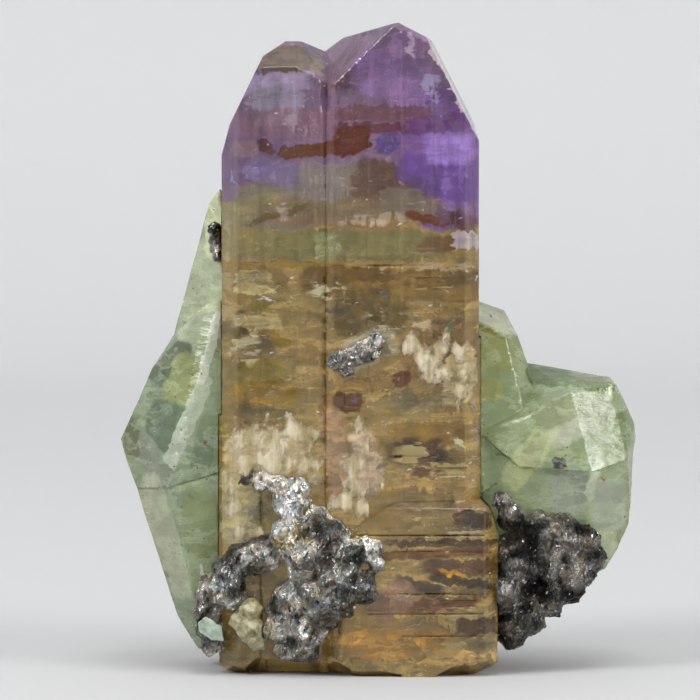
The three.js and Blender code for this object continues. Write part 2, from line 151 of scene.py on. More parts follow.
stage_paper, tree, paper_shader = new_material("stage_paper")
coordinates = add(tree, "ShaderNodeTexCoord").outputs["Object"]
from_middle = add(tree, "ShaderNodeVectorMath", {0: coordinates}, operation="LENGTH").outputs["Value"]
toward_back = add(tree, "ShaderNodeSeparateXYZ", {"Vector": coordinates}).outputs["Y"]
shades = []
for where, nearest, furthest, first, last in (
    # painted shade: darker near the middle, where the lamps light the floor most, and paler with distance
    # from it; and darker behind the camera, where it would mirror
    (from_middle, 20, 330, 0.53, 0.84),
    (toward_back, -300, -120, 0.5, 1.0),
):
    values = {"Value": where, "From Min": nearest * mm, "From Max": furthest * mm, "To Min": first}
    shades.append(add(tree, "ShaderNodeMapRange", {**values, "To Max": last}).outputs[0])
paleness = add(tree, "ShaderNodeMath", dict(enumerate(shades)), operation="MULTIPLY").outputs[0]
tree.links.new(paleness, paper_shader.inputs["Base Color"])
paper_shader.inputs["Roughness"].default_value = 0.9
stage = show("stage", stage_mesh(), stage_paper)

world = bpy.data.worlds.new("sky")
world.use_nodes = True
world.node_tree.nodes["Background"].inputs["Color"].default_value = (0.96, 0.98, 1.0, 1)
world.node_tree.nodes["Background"].inputs["Strength"].default_value = 0.9
bpy.context.scene.world = world
bpy.context.scene.view_settings.view_transform = "Standard"


def lamp(name, spot, size, power):
    """A square soft white lamp that shines on the middle of the specimen."""
    light = bpy.data.lights.new(name, "AREA")
    light.size = size * mm
    light.energy = power
    made = bpy.data.objects.new(name, light)
    made.location = Vector(spot) * mm
    made.rotation_euler = (Vector((0, 0, 12 * mm)) - made.location).to_track_quat("-Z", "Y").to_euler()
    made.visible_camera = False
    bpy.context.scene.collection.objects.link(made)


lamp("key_lamp", (-160, -110, 150), 90, 0.30)
lamp("fill_lamp", (170, -100, 100), 90, 0.22)
lamp("top_lamp", (20, -60, 230), 80, 0.12)

cycles = bpy.context.scene.cycles
cycles.max_bounces = 6
cycles.transmission_bounces = 6
cycles.diffuse_bounces = 2
cycles.glossy_bounces = 3
cycles.sample_clamp_indirect = 6
cycles.use_light_tree = False
cycles.adaptive_threshold = 0.15
cycles.use_denoising = True

# Tanzanite
# Two glassy prisms grown side by side, violet at the top and honey brown below, with a block
# grown against their foot. The body is the solid's own form, with fine upright growth lines,
# ledges and etched steps on its faces, and colour zones that run through the crystal.


def merged_copy(*nodes):
    """One shell of the named solids, with their loose triangles joined and flat faces made whole."""
    shell = bmesh.new()
    for node in nodes:
        shell.from_mesh(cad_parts[node].data)
    bmesh.ops.remove_doubles(shell, verts=shell.verts, dist=1e-7)
    bmesh.ops.dissolve_limit(shell, angle_limit=math.radians(0.3), verts=shell.verts, edges=shell.edges)
    return shell


def cut_into_cells(shell, across, deep, tall):
    """Cuts every face along a fine upright grid, so that the edges stay crisp."""
    for axis, step in ((2, tall), (0, across), (1, deep)):
        low = min(v.co[axis] for v in shell.verts)
        high = max(v.co[axis] for v in shell.verts)
        facing = Vector([float(i == axis) for i in range(3)])
        for i in range(1, int((high - low) / (step * mm)) + 1):
            parts = shell.verts[:] + shell.edges[:] + shell.faces[:]
            through = facing * (low + i * step * mm)
            bmesh.ops.bisect_plane(shell, geom=parts, dist=1e-8, plane_co=through, plane_no=facing)
    bmesh.ops.triangulate(shell, faces=shell.faces)


def raise_faces(shell, height):
    """Moves each corner out along its normal by height(place in millimetres, normal)."""
    shell.normal_update()
    moves = [v.normal * height((v.co - origin) / mm, v.normal) * mm for v in shell.verts]
    for corner, move in zip(shell.verts, moves):
        corner.co += move
        corner.co.z = max(corner.co.z, 0)


def mesh_from(shell, name, sharp_angle=None):
    """A mesh of the shell, flat or smooth up to the angle of its sharp edges."""
    mesh = bpy.data.meshes.new(name)
    shell.to_mesh(mesh)
    shell.free()
    smooth = sharp_angle is not None
    mesh.polygons.foreach_set("use_smooth", [smooth] * len(mesh.polygons))
    if smooth:
        mesh.set_sharp_from_angle(angle=math.radians(sharp_angle))
    return mesh


def facets(at, scale):
    """Height of a surface broken into small flat facets that lean at random."""
    spot = at * scale
    nearest = noise.voronoi(spot)[1][0]
    lean = noise.cell_vector(nearest * 37.0)
    return (spot - nearest).dot(lean * 2 - Vector((1, 1, 1)))


seam = -2.04  # across, where the groove between the prisms lies
seam_reach = 0.34  # how far its sides go from there
seam_top = 22.5
seam_fill = 0.2  # how much shallower it gets
etched_below = 17


def tanzanite_relief(at, facing):
    upright = 1 - abs(facing.z)
    drift = noise.noise(Vector((at.x * 0.7, at.y * 0.7, at.z * 0.15)))
    lines = noise.noise(Vector((at.x * 5.5, at.y * 5.5, at.z * 0.2)))
    fine_lines = noise.noise(Vector((at.x * 14, at.y * 14, at.z * 0.45)))
    steps = noise.noise(Vector((at.x * 0.5 + 7, at.y * 0.5, at.z * 2.6)))
    etch = noise.fractal(at * 2.4, 0.7, 2.1, 3)
    body = 0.006 * lines + 0.003 * fine_lines + 0.01 * drift
    low = min(1, max(0, (etched_below - at.z) / 3))
    groove = max(0, 1 - abs(at.x - seam) / seam_reach) * max(0, -facing.y) * (at.z < seam_top)
    return upright * body + low * (0.016 * steps + 0.012 * etch) + seam_fill * groove


tanzanite_shell = merged_copy("tanzanite")
cut_into_cells(tanzanite_shell, 0.14, 0.3, 0.14)
raise_faces(tanzanite_shell, tanzanite_relief)
tanzanite_mesh = mesh_from(tanzanite_shell, "tanzanite_body", 22)


def new_group(name, inputs, outputs):
    """An empty shader node group with named inputs and outputs, given as name to kind of socket."""
    group = bpy.data.node_groups.new(name, "ShaderNodeTree")
    for label, kind in inputs.items():
        group.interface.new_socket(label, in_out="INPUT", socket_type="NodeSocket" + kind)
    for label, kind in outputs.items():
        group.interface.new_socket(label, in_out="OUTPUT", socket_type="NodeSocket" + kind)
    return group, group.nodes.new("NodeGroupInput").outputs, group.nodes.new("NodeGroupOutput")


def math_node(tree, operation, *values):
    return add(tree, "ShaderNodeMath", dict(enumerate(values)), operation=operation).outputs[0]


def vector_node(tree, operation, *values):
    made = add(tree, "ShaderNodeVectorMath", dict(enumerate(values)), operation=operation)
    return made.outputs["Value" if operation in ("LENGTH", "DOT_PRODUCT") else "Vector"]


def mix_node(tree, share, below, above, blend="MIX"):
    values = {0: share, 6: below, 7: above}
    return add(tree, "ShaderNodeMix", values, data_type="RGBA", blend_type=blend).outputs[2]


def noise_node(tree, at, scale, detail=3.0, roughness=0.55):
    values = {"Vector": at, "Scale": scale, "Detail": detail, "Roughness": roughness}
    return add(tree, "ShaderNodeTexNoise", values)


def band_node(tree, value, low, high, start=0.0, end=1.0):
    """Value from low to high becomes start to end, smoothly."""
    values = {"Value": value, "From Min": low, "From Max": high, "To Min": start, "To Max": end}
    return add(tree, "ShaderNodeMapRange", values, interpolation_type="SMOOTHSTEP").outputs[0]


def specimen_place(tree):
    """The place on the specimen in millimetres, from Object coordinates."""
    coordinates = add(tree, "ShaderNodeTexCoord").outputs["Object"]
    shifted = vector_node(tree, "SUBTRACT", coordinates, tuple(origin))
    return vector_node(tree, "MULTIPLY", shifted, (1 / mm, 1 / mm, 1 / mm))


def group_node(tree, group, **values):
    """A finish group in the tree, with its inputs set or linked by name: its outputs."""
    named = {name.replace("_", " ").capitalize(): value for name, value in values.items()}
    return add(tree, "ShaderNodeGroup", named, node_tree=group).outputs


def start_colour(tree, colour, gain):
    """A plain colour to lay zones over, made lighter by the gain."""
    made = add(tree, "ShaderNodeRGB")
    made.outputs[0].default_value = (*[part * gain for part in linear(colour)[:3]], 1)
    return made.outputs[0]


def make_bumpy(tree, shader, height, strength, distance):
    """Lets a height make the surface bumpy: how much, and the depth in millimetres."""
    values = {"Height": height, "Strength": strength, "Distance": distance * mm}
    bump = add(tree, "ShaderNodeBump", values)
    tree.links.new(bump.outputs[0], shader.inputs["Normal"])


# Crystal grain: the noises that every crystal finish shares. Comb is drawn out upright, layer is
# drawn out level, run wanders, and crowd says where marks are thick.
grain_group, given, result = new_group(
    "crystal grain",
    {"Place": "Vector"},
    {"Comb": "Float", "Layer": "Float", "Run": "Float", "Crowd": "Float"},
)
for label, stretch, detail in (
    ("Comb", (2.6, 2.6, 0.4), 5),
    ("Layer", (0.7, 0.7, 2.9), 5),
    ("Run", (0.8, 0.8, 1.7), 4),
    ("Crowd", (0.7, 0.7, 0.8), 1),
):
    drawn = vector_node(grain_group, "MULTIPLY", given["Place"], stretch)
    value = noise_node(grain_group, drawn, 1.0, detail, 0.62).outputs[0]
    grain_group.links.new(value, result.inputs[label])

# Ragged place: the place pushed up and down by the comb and sideways by the layer, so that zones
# painted at it have natural edges
ragged_group, given, result = new_group(
    "ragged place",
    {"Place": "Vector", "Comb": "Float", "Layer": "Float", "Reach": "Vector"},
    {"Place": "Vector"},
)
wander = {"X": given["Layer"], "Y": given["Comb"], "Z": given["Comb"]}
wander = add(ragged_group, "ShaderNodeCombineXYZ", wander).outputs[0]
wander = vector_node(ragged_group, "SUBTRACT", wander, (0.5, 0.5, 0.5))
wander = vector_node(ragged_group, "MULTIPLY_ADD", wander, given["Reach"], given["Place"])
ragged_group.links.new(wander, result.inputs["Place"])

# Colour zone: a patch of colour with rounded corners, laid over the colour below. Spot is the place
# measured from its centre in half sizes.
zone_group, given, result = new_group(
    "colour zone",
    {"Colour": "Color", "Spot": "Vector", "Zone colour": "Color", "Inner edge": "Float",
     "Outer edge": "Float", "Strength": "Float"},
    {"Colour": "Color"},
)
spot = vector_node(zone_group, "MULTIPLY", given["Spot"], given["Spot"])
spot = vector_node(zone_group, "LENGTH", spot)
share = band_node(zone_group, spot, given["Inner edge"], given["Outer edge"], given["Strength"], 0.0)
painted = mix_node(zone_group, share, given["Colour"], given["Zone colour"])
zone_group.links.new(painted, result.inputs["Colour"])

through = 50  # half depth of a zone that runs through the whole crystal
skin = 1.6  # half depth of one that lies near the front


def paint(tree, colour, at, zones, front, gain=1.0, broken=None, usual_depth=through):
    """Lays the named zones over the colour, in order, whole or broken up by a share."""
    for name, shade, (x, z), (wide, tall), turn, softness, strength, *own_depth in zones:
        depth = own_depth[0] if own_depth else usual_depth
        spot = vector_node(tree, "SUBTRACT", at, (x, front, z))
        if turn:
            values = {"Vector": spot, "Angle": math.radians(turn)}
            spot = add(tree, "ShaderNodeVectorRotate", values, rotation_type="Y_AXIS").outputs[0]
        spot = vector_node(tree, "DIVIDE", spot, (wide, depth, tall))
        lit = [min(1, part * gain) for part in linear(shade)]
        values = {
            "Colour": colour,
            "Spot": spot,
            "Zone colour": (*lit[:3], 1),
            "Inner edge": 1 - softness,
            "Outer edge": 1 + softness,
            "Strength": math_node(tree, "MULTIPLY", broken, strength) if broken else strength,
        }
        colour = add(tree, "ShaderNodeGroup", values, node_tree=zone_group, label=name).outputs["Colour"]
    return colour


# Streaks: fine veils of light and dark that follow one of the grain noises
streak_group, given, result = new_group(
    "streaks",
    {"Colour": "Color", "Grain": "Float", "Strength": "Float"},
    {"Colour": "Color", "Height": "Float"},
)
veil = band_node(streak_group, given["Grain"], 0.3, 0.7, -1.0, 1.0)
lift = math_node(streak_group, "MULTIPLY_ADD", veil, given["Strength"], 1.0)
lift = add(streak_group, "ShaderNodeCombineXYZ", {i: lift for i in range(3)}).outputs[0]
lifted = mix_node(streak_group, 1.0, given["Colour"], lift, "MULTIPLY")
streak_group.links.new(lifted, result.inputs["Colour"])
streak_group.links.new(veil, result.inputs["Height"])

# Mosaic: flat patches, each lighter or darker and warmer or cooler, as where cracks overlap inside, with a
# painted shading across each patch, as on a small tilted facet in the light
mosaic_group, given, result = new_group(
    "mosaic",
    {"Colour": "Color", "Place": "Vector", "Stretch": "Vector", "Grain": "Float",
     "Scale": "Float", "Strength": "Float"},
    {"Colour": "Color", "Height": "Float", "Cell": "Color", "Distance": "Float"},
)
wander = add(mosaic_group, "ShaderNodeCombineXYZ", {i: given["Grain"] for i in range(3)}).outputs[0]
drawn = vector_node(mosaic_group, "MULTIPLY_ADD", given["Place"], given["Stretch"], wander)
cells = add(mosaic_group, "ShaderNodeTexVoronoi", {"Vector": drawn, "Scale": given["Scale"]})
lean = vector_node(mosaic_group, "SUBTRACT", cells.outputs["Color"], (0.5, 0.5, 0.5))
parts = add(mosaic_group, "ShaderNodeSeparateXYZ", {"Vector": lean}).outputs
inside = vector_node(mosaic_group, "SUBTRACT", drawn, cells.outputs["Position"])
# painted light and shade: the brightness slopes across each patch, as if it were a small facet tilted
# towards or away from the light
slope = vector_node(mosaic_group, "DOT_PRODUCT", inside, lean)
light = math_node(mosaic_group, "MULTIPLY_ADD", slope, given["Scale"], parts["X"])
light = math_node(mosaic_group, "MULTIPLY", light, given["Strength"])
warm = math_node(mosaic_group, "MULTIPLY", parts["Z"], given["Strength"])
red_lift = math_node(mosaic_group, "MULTIPLY_ADD", warm, 0.2, light)
blue_lift = math_node(mosaic_group, "MULTIPLY_ADD", warm, -0.3, light)
lift = add(mosaic_group, "ShaderNodeCombineXYZ", {"X": red_lift, "Y": light, "Z": blue_lift}).outputs[0]
lift = vector_node(mosaic_group, "ADD", lift, (1, 1, 1))
lifted = mix_node(mosaic_group, 1.0, given["Colour"], lift, "MULTIPLY")
mosaic_group.links.new(lifted, result.inputs["Colour"])
mosaic_group.links.new(light, result.inputs["Height"])
mosaic_group.links.new(cells.outputs["Color"], result.inputs["Cell"])
mosaic_group.links.new(cells.outputs["Distance"], result.inputs["Distance"])

# Cracks: thin lines of another colour along one level line of the run noise, where marks are thick
crack_group, given, result = new_group(
    "cracks",
    {"Colour": "Color", "Run": "Float", "Crowd": "Float", "Crack colour": "Color",
     "Level": "Float", "Width": "Float", "Strength": "Float"},
    {"Colour": "Color"},
)
run = math_node(crack_group, "ABSOLUTE", math_node(crack_group, "SUBTRACT", given["Run"], given["Level"]))
share = band_node(crack_group, run, 0.0, given["Width"], given["Strength"], 0.0)
share = math_node(crack_group, "MULTIPLY", share, band_node(crack_group, given["Crowd"], 0.42, 0.56))
mixed = mix_node(crack_group, share, given["Colour"], given["Crack colour"])
crack_group.links.new(mixed, result.inputs["Colour"])

# Glints: the middles of some of the mosaic's patches made bright, a few of them rainbow tinted,
# where marks are thick
glint_group, given, result = new_group(
    "glints",
    {"Colour": "Color", "Cell": "Color", "Distance": "Float", "Crowd": "Float",
     "Cover": "Float", "Strength": "Float"},
    {"Colour": "Color"},
)
parts = add(glint_group, "ShaderNodeSeparateXYZ", {"Vector": given["Cell"]}).outputs
lit = math_node(glint_group, "LESS_THAN", parts["Y"], given["Cover"])
lit = math_node(glint_group, "MULTIPLY", lit, band_node(glint_group, given["Crowd"], 0.46, 0.52))
core = band_node(glint_group, given["Distance"], 0.05, 0.26, given["Strength"], 0.0)
share = math_node(glint_group, "MULTIPLY", lit, core)
tint = math_node(glint_group, "MULTIPLY", math_node(glint_group, "POWER", parts["Z"], 4.0), 0.7)
values = {"Red": parts["X"], "Green": tint, "Blue": 1.0}
tinted = add(glint_group, "ShaderNodeCombineColor", values, mode="HSV").outputs[0]
glint_group.links.new(mix_node(glint_group, share, given["Colour"], tinted), result.inputs["Colour"])

# Specks: small round grains of another colour, where marks are thick
speck_group, given, result = new_group(
    "specks",
    {"Colour": "Color", "Place": "Vector", "Crowd": "Float", "Speck colour": "Color",
     "Scale": "Float", "Size": "Float"},
    {"Colour": "Color"},
)
cells = add(speck_group, "ShaderNodeTexVoronoi", {"Vector": given["Place"], "Scale": given["Scale"]})
dot = math_node(speck_group, "LESS_THAN", cells.outputs["Distance"], given["Size"])
dot = math_node(speck_group, "MULTIPLY", dot, math_node(speck_group, "GREATER_THAN", given["Crowd"], 0.5))
specked = mix_node(speck_group, dot, given["Colour"], given["Speck colour"])
speck_group.links.new(specked, result.inputs["Colour"])


tanzanite_base = "9c824a"
tanzanite_zones = [
    # name, colour, centre x and z, half width and height, turn, softness, strength, and the half
    # depth where it runs through the whole crystal
    ("violet cap", "7e637e", (-1.2, 23.3), (7.0, 3.3), 0, 0.12, 1, through),
    ("violet right lobe", "75528a", (2.9, 20.6), (2.1, 2.8), 12, 0.1, 1, through),
    ("violet left lobe", "735b7c", (-5.3, 20.2), (1.7, 1.5), -10, 0.15, 1, through),
    ("grey dome", "807564", (-2.4, 19.0), (3.3, 1.15), 8, 0.06, 1, through),
    ("brown dome", "644b3e", (0.4, 19.35), (1.5, 0.95), -22, 0.1, 1, through),
    ("olive dome left", "91875f", (-5.4, 18.5), (1.5, 0.5), 14, 0.15, 1, through),
    ("khaki under dome", "806c4c", (-0.6, 18.5), (4.2, 0.5), 0, 0.2, 0.8, through),
    ("top facet left", "6b5b48", (-3.85, 24.6), (1.3, 0.62), 0, 0.07, 1),
    ("beige facet", "907e64", (-2.45, 24.3), (0.3, 0.5), 0, 0.15, 1),
    ("beige by the groove", "886f68", (-1.75, 24.1), (0.3, 0.9), -4, 0.2, 0.8),
    ("lilac band left", "bca6c8", (-4.3, 23.5), (1.6, 0.4), 6, 0.4, 1),
    ("grey window left", "a398ab", (-4.1, 22.6), (1.1, 0.75), 0, 0.35, 0.9),
    ("mauve middle", "855f6c", (-3.3, 21.9), (2.3, 0.6), 0, 0.4, 0.7),
    ("pink grey facet", "6a485e", (-1.2, 24.3), (1.1, 0.8), 38, 0.12, 0.9),
    ("violet facet", "9370a4", (0.5, 23.7), (1.5, 1.0), -20, 0.3, 0.9),
    ("tip violet", "9e79a6", (1.2, 25.0), (0.8, 0.6), 0, 0.15, 0.8),
    ("beige narrow facet", "d8bad8", (1.25, 25.0), (0.13, 0.5), 8, 0.15, 0.9),
    ("edge strip", "e7d0d9", (2.95, 23.4), (0.16, 1.9), 27, 0.15, 0.9),
    ("mauve band", "6d4249", (0.2, 22.3), (1.9, 0.3), 0, 0.2, 0.9),
    ("mauve band low", "5b242b", (0.3, 21.75), (2.1, 0.2), 0, 0.25, 0.9),
    ("dark violet band", "60336e", (2.6, 21.95), (1.5, 0.35), 8, 0.2, 0.9),
    ("deep lobe", "61428a", (2.3, 19.8), (1.6, 0.7), -18, 0.2, 0.9),
    ("lavender glow", "a885d7", (2.85, 20.9), (1.0, 0.62), 0, 0.5, 1),
    ("lavender low", "7c57a7", (3.1, 19.4), (0.7, 0.9), 20, 0.5, 0.8),
    ("blue window", "4c387a", (0.35, 21.15), (0.42, 0.42), 0, 0.15, 0.9),
    ("brown lens tail", "5c2e0b", (-2.7, 20.85), (1.35, 0.26), 9, 0.12, 1),
    ("brown lens", "571e07", (-1.1, 21.2), (0.82, 0.55), 14, 0.1, 1),
    ("brown spot", "562c2b", (-4.5, 20.98), (0.34, 0.3), 0, 0.12, 1),
    ("tan window left", "a18172", (-5.35, 20.95), (0.55, 0.33), 0, 0.15, 0.5),
    ("blue violet left", "817197", (-4.1, 19.95), (1.2, 0.5), -12, 0.2, 0.9),
    ("grey veil", "8a807d", (-2.3, 19.6), (0.9, 0.8), 0, 0.25, 0.8),
    ("olive window", "766c5d", (0.9, 18.9), (0.9, 0.45), 0, 0.12, 0.9),
    ("brown smear left", "635125", (-4.0, 18.3), (1.2, 0.12), 16, 0.2, 0.9),
    ("red vein", "87654c", (-1.6, 17.92), (2.8, 0.1), -3, 0.25, 0.9),
    ("red vein right", "612907", (2.0, 18.15), (0.95, 0.18), -8, 0.15, 1),
    ("dark under lobe", "4e2724", (2.85, 18.25), (0.62, 0.22), -26, 0.15, 1),
    ("rose under lobe", "62323d", (3.4, 18.0), (0.5, 0.35), -30, 0.2, 0.8),
    ("green band", "7e7548", (-1.2, 17.1), (3.9, 0.62), 0, 0.12, 1, through),
    ("pale green core", "aab282", (-2.1, 17.0), (0.5, 0.55), 0, 0.2, 0.5),
    ("olive band left", "958858", (-5.2, 17.2), (1.1, 0.7), 0, 0.15, 0.9),
    ("brown patch right", "715133", (2.3, 17.15), (0.7, 0.34), 0, 0.15, 0.9),
    ("pink window right", "c1b2b7", (3.45, 17.3), (0.5, 0.36), 0, 0.12, 1),
    ("brown line", "a78423", (-3.4, 16.3), (2.8, 0.1), 0, 0.2, 0.9),
    ("dark brown right", "765b23", (2.4, 15.5), (1.75, 0.62), -2, 0.1, 1),
    ("golden middle", "5b4107", (-1.2, 15.7), (1.9, 0.6), 0, 0.2, 0.9),
    ("beige box left", "c7b882", (-4.95, 15.6), (0.8, 0.5), 0, 0.1, 0.9),
    ("dark olive box", "85731c", (-4.7, 14.66), (0.5, 0.16), 0, 0.15, 1),
    ("olive core", "5d4d19", (-0.4, 14.4), (1.5, 0.9), 0, 0.17, 0.9),
    ("beige streak left", "c7b175", (-4.9, 14.0), (1.0, 0.35), 5, 0.2, 0.9),
    ("olive wedge left", "85690f", (-4.7, 13.45), (1.2, 0.26), -8, 0.15, 0.9),
    ("cream field right", "7e6236", (2.5, 12.9), (1.6, 1.2), 12, 0.17, 1),
    ("cream column right", "e1cb93", (3.2, 11.9), (0.6, 1.2), -8, 0.2, 0.9),
    ("pale halo", "aba48d", (-0.5, 12.9), (1.3, 0.65), 26, 0.25, 0.8),
    ("green wedge left", "8e7a1d", (-4.9, 12.0), (1.1, 0.5), 10, 0.15, 0.9),
    ("honey left", "a3801d", (-4.6, 11.2), (1.4, 0.45), 0, 0.2, 0.9),
    ("rust window", "5a2b07", (0.9, 11.8), (0.3, 0.34), 0, 0.3, 1),
    ("tan shelf", "8a6b38", (-0.6, 11.6), (1.1, 0.28), 0, 0.2, 0.8),
    ("brown box", "532c07", (-1.25, 10.85), (0.6, 0.38), 4, 0.25, 1),
    ("brown box left", "8f632c", (-2.08, 10.8), (0.22, 0.5), 0, 0.15, 0.9),
    ("grey green window", "8c7a4f", (1.4, 10.7), (0.95, 0.36), -6, 0.15, 0.9),
    ("rose streak", "b28e69", (-1.75, 8.9), (0.42, 1.7), 3, 0.2, 1),
    ("honey right", "8b6717", (2.0, 9.7), (1.6, 0.4), 0, 0.2, 0.9),
    ("brown right", "3d1d07", (1.5, 8.9), (1.2, 0.5), 0, 0.45, 0.9),
    ("golden low", "451e07", (2.0, 8.1), (0.7, 0.2), 0, 0.4, 0.9),
    ("tan low", "ab8a4a", (1.7, 7.4), (1.9, 0.35), 0, 0.2, 0.9),
    ("frost left", "e4cd96", (-4.6, 8.9), (1.6, 0.8), 0, 0.2, 1),
    ("frost middle", "cab092", (-0.5, 8.5), (0.6, 1.3), 8, 0.2, 0.9),
    ("frost low left", "bcae7d", (-5.5, 6.8), (0.95, 1.6), 0, 0.15, 1),
    ("tan box left", "877636", (-4.55, 6.3), (0.4, 0.6), 0, 0.12, 0.9),
    ("olive spot", "272107", (-5.3, 8.0), (0.26, 0.42), 0, 0.15, 1),
    ("olive spot high", "9d8f3c", (-6.05, 9.6), (0.18, 0.3), 0, 0.15, 0.9),
]
block_zones = [
    ("block top", "8d7449", (2.4, 6.75), (2.3, 0.25), 0, 0.15, 0.9),
    ("brown corner", "9d8352", (0.85, 6.0), (0.4, 0.65), 10, 0.12, 1),
    ("dark right", "362007", (3.7, 6.25), (0.75, 0.34), 0, 0.15, 0.9),
    ("dark band", "432f1d", (2.5, 5.32), (2.3, 0.15), 0, 0.2, 0.9),
    ("tan band", "673e13", (2.0, 4.9), (2.3, 0.18), 3, 0.2, 0.9),
    ("olive brown", "5c3307", (3.2, 4.35), (1.5, 0.32), 0, 0.2, 0.9),
    ("orange glint", "d8980f", (2.9, 4.12), (0.5, 0.13), -12, 0.2, 0.9),
    ("dark low band", "261107", (3.3, 3.8), (1.2, 0.18), -8, 0.2, 0.9),
    ("mauve patch", "26130e", (1.6, 3.6), (0.9, 0.3), -14, 0.4, 0.9),
    ("honey band", "703e0d", (2.4, 2.9), (1.6, 0.26), 4, 0.2, 0.9),
    ("rose corner", "8e6c58", (0.5, 3.0), (1.0, 0.6), 35, 0.25, 0.9),
    ("dark corner", "412107", (3.9, 2.0), (0.85, 0.32), 0, 0.2, 0.9),
    ("yellow foot", "c6903b", (0.8, 1.3), (2.3, 0.6), 0, 0.25, 0.9),
    ("tan foot", "c5a25f", (3.0, 0.8), (1.7, 0.3), 0, 0.2, 0.9),
    ("olive foot left", "867545", (-5.5, 1.2), (0.9, 0.7), 0, 0.15, 0.9),
]
sparkling_zones = [
    # the same, broken up into small bright or dark patches: mostly painted glints and sparks, where light
    # catches cracks inside, with a few dark flecks and pale threads of the crystal's own
    ("bright window", "b7b2da", (2.0, 23.5), (0.35, 0.4), -20, 0.25, 0.7),
    ("bright window low", "a894cf", (2.3, 23.0), (0.3, 0.22), 0, 0.25, 0.9),
    ("cream vein spark", "dcc3a8", (0.0, 18.0), (0.42, 0.14), 5, 0.2, 0.5),
    ("white spark", "ebe4de", (1.75, 18.7), (0.14, 0.24), 0, 0.2, 1),
    ("white glint right", "cfcfc8", (3.75, 15.9), (0.18, 0.3), 20, 0.2, 1),
    ("white glint left", "e6ebe4", (-4.4, 14.95), (0.3, 0.06), -14, 0.2, 1),
    ("green crystal", "4d7c55", (2.78, 13.8), (0.11, 0.34), 0, 0.15, 1),
    ("pale glint", "a9b2a2", (1.75, 10.72), (0.5, 0.1), -12, 0.25, 0.9),
    ("gold spark", "f4e3b0", (3.3, 9.25), (0.22, 0.12), 0, 0.2, 1),
    ("green spark", "58c493", (2.1, 9.3), (0.34, 0.05), -35, 0.2, 1),
    ("red spark", "b8405c", (1.75, 9.5), (0.1, 0.07), 0, 0.2, 1),
    ("cream edge left", "b0a582", (-6.05, 17.2), (0.2, 0.9), 0, 0.25, 0.8),
    ("sparkling edge left", "b3a275", (-5.98, 14.6), (0.2, 1.6), 0, 0.3, 0.8),
    ("blue edge left", "8c9bd6", (-5.78, 19.8), (0.09, 0.6), 0, 0.2, 0.9),
    ("cream spot", "bcae94", (1.5, 6.35), (0.2, 0.26), 0, 0.25, 0.9),
    ("cream line", "c9b796", (2.7, 5.72), (1.7, 0.11), 1, 0.25, 1),
    ("pale thread", "bcac92", (2.0, 3.32), (1.4, 0.05), 3, 0.2, 0.9),
    ("pale curve", "ad9c7e", (2.8, 2.48), (1.4, 0.05), 0, 0.2, 0.9),
    ("cream foot line", "a8976a", (3.3, 1.25), (1.4, 0.12), 0, 0.25, 0.9),
    ("cream band", "b8a282", (1.9, 16.22), (1.9, 0.14), 2, 0.2, 0.9),
    ("rust spot left", "6a3810", (-4.9, 12.75), (0.32, 0.12), 0, 0.15, 1),
    ("orange streak", "a65a18", (2.2, 14.1), (0.42, 0.14), 30, 0.2, 1),
    ("curved pale seam", "b29ab8", (1.35, 19.1), (0.06, 0.85), 48, 0.2, 0.9),
    ("pale spot right", "b8a98e", (4.0, 3.68), (0.3, 0.24), 0, 0.3, 0.9),
    ("lilac spots", "b09cc8", (-4.5, 23.7), (0.8, 0.2), 8, 0.25, 1),
    ("blue in the box", "5e5f80", (-0.92, 11.02), (0.2, 0.1), 0, 0.25, 0.9),
    ("mauve edge line", "aba0b4", (3.9, 10.0), (0.06, 1.7), 0, 0.15, 0.9),
    ("edge chips", "2a2422", (-0.74, 25.5), (0.6, 0.1), 18, 0.2, 1),
    ("dark fleck high", "33261f", (-1.3, 24.45), (0.22, 0.1), 30, 0.2, 1),
    ("dark fleck right", "2c2030", (2.0, 22.75), (0.1, 0.08), 0, 0.2, 1),
    ("sparks by the lens", "f0dfe0", (-3.1, 22.0), (0.5, 0.45), 0, 0.5, 0.2),
    ("sparks over the vein", "e8e0da", (-4.05, 18.35), (0.4, 0.3), 0, 0.5, 0.25),
    ("vein sparks", "ead8c4", (-0.3, 18.15), (1.4, 0.22), 5, 0.5, 0.3),
    ("spark cluster", "f2e8c0", (-1.9, 15.2), (0.7, 0.4), -10, 0.5, 0.7),
    ("dark cluster", "3a342c", (-1.7, 14.7), (0.4, 0.3), 0, 0.5, 0.9),
    ("blue fleck high", "5a68b0", (0.3, 15.2), (0.16, 0.16), 0, 0.3, 0.9),
    ("right sparks", "eee2c8", (0.9, 14.1), (1.3, 0.3), -6, 0.5, 0.5),
    ("left sparks", "ecdcb6", (-5.3, 13.1), (0.6, 0.7), 0, 0.5, 0.6),
    ("low gold sparks", "e8d48c", (2.3, 8.6), (1.6, 0.6), -8, 0.5, 0.45),
    ("steep face stripes", "b7a6c6", (2.6, 22.2), (0.9, 0.9), 0, 0.5, 0.15),
    ("violet stripes", "b49ada", (3.1, 19.3), (0.9, 1.3), 0, 0.5, 0.2),
]
tanzanite_gain = 1.25
tanzanite_front = -3.4

tanzanite_glass, tree, shader = new_material("tanzanite_glass")
at = specimen_place(tree)
height_in_crystal = add(tree, "ShaderNodeSeparateXYZ", {"Vector": at}).outputs["Z"]
low = band_node(tree, height_in_crystal, 17.4, 15.8)
grain = group_node(tree, grain_group, place=at)
reach = (1.1, 0.4, 0.7)
ragged = group_node(
    tree, ragged_group, place=at, comb=grain["Comb"], layer=grain["Layer"], reach=reach
)[0]
start = start_colour(tree, tanzanite_base, tanzanite_gain)
whole_zones = tanzanite_zones + block_zones
colour = paint(tree, start, ragged, whole_zones, tanzanite_front, tanzanite_gain, None, skin)


def by_level(top, foot):
    """A strength with its value in the violet top and its value lower down."""
    return math_node(tree, "MULTIPLY_ADD", low, foot - top, top)


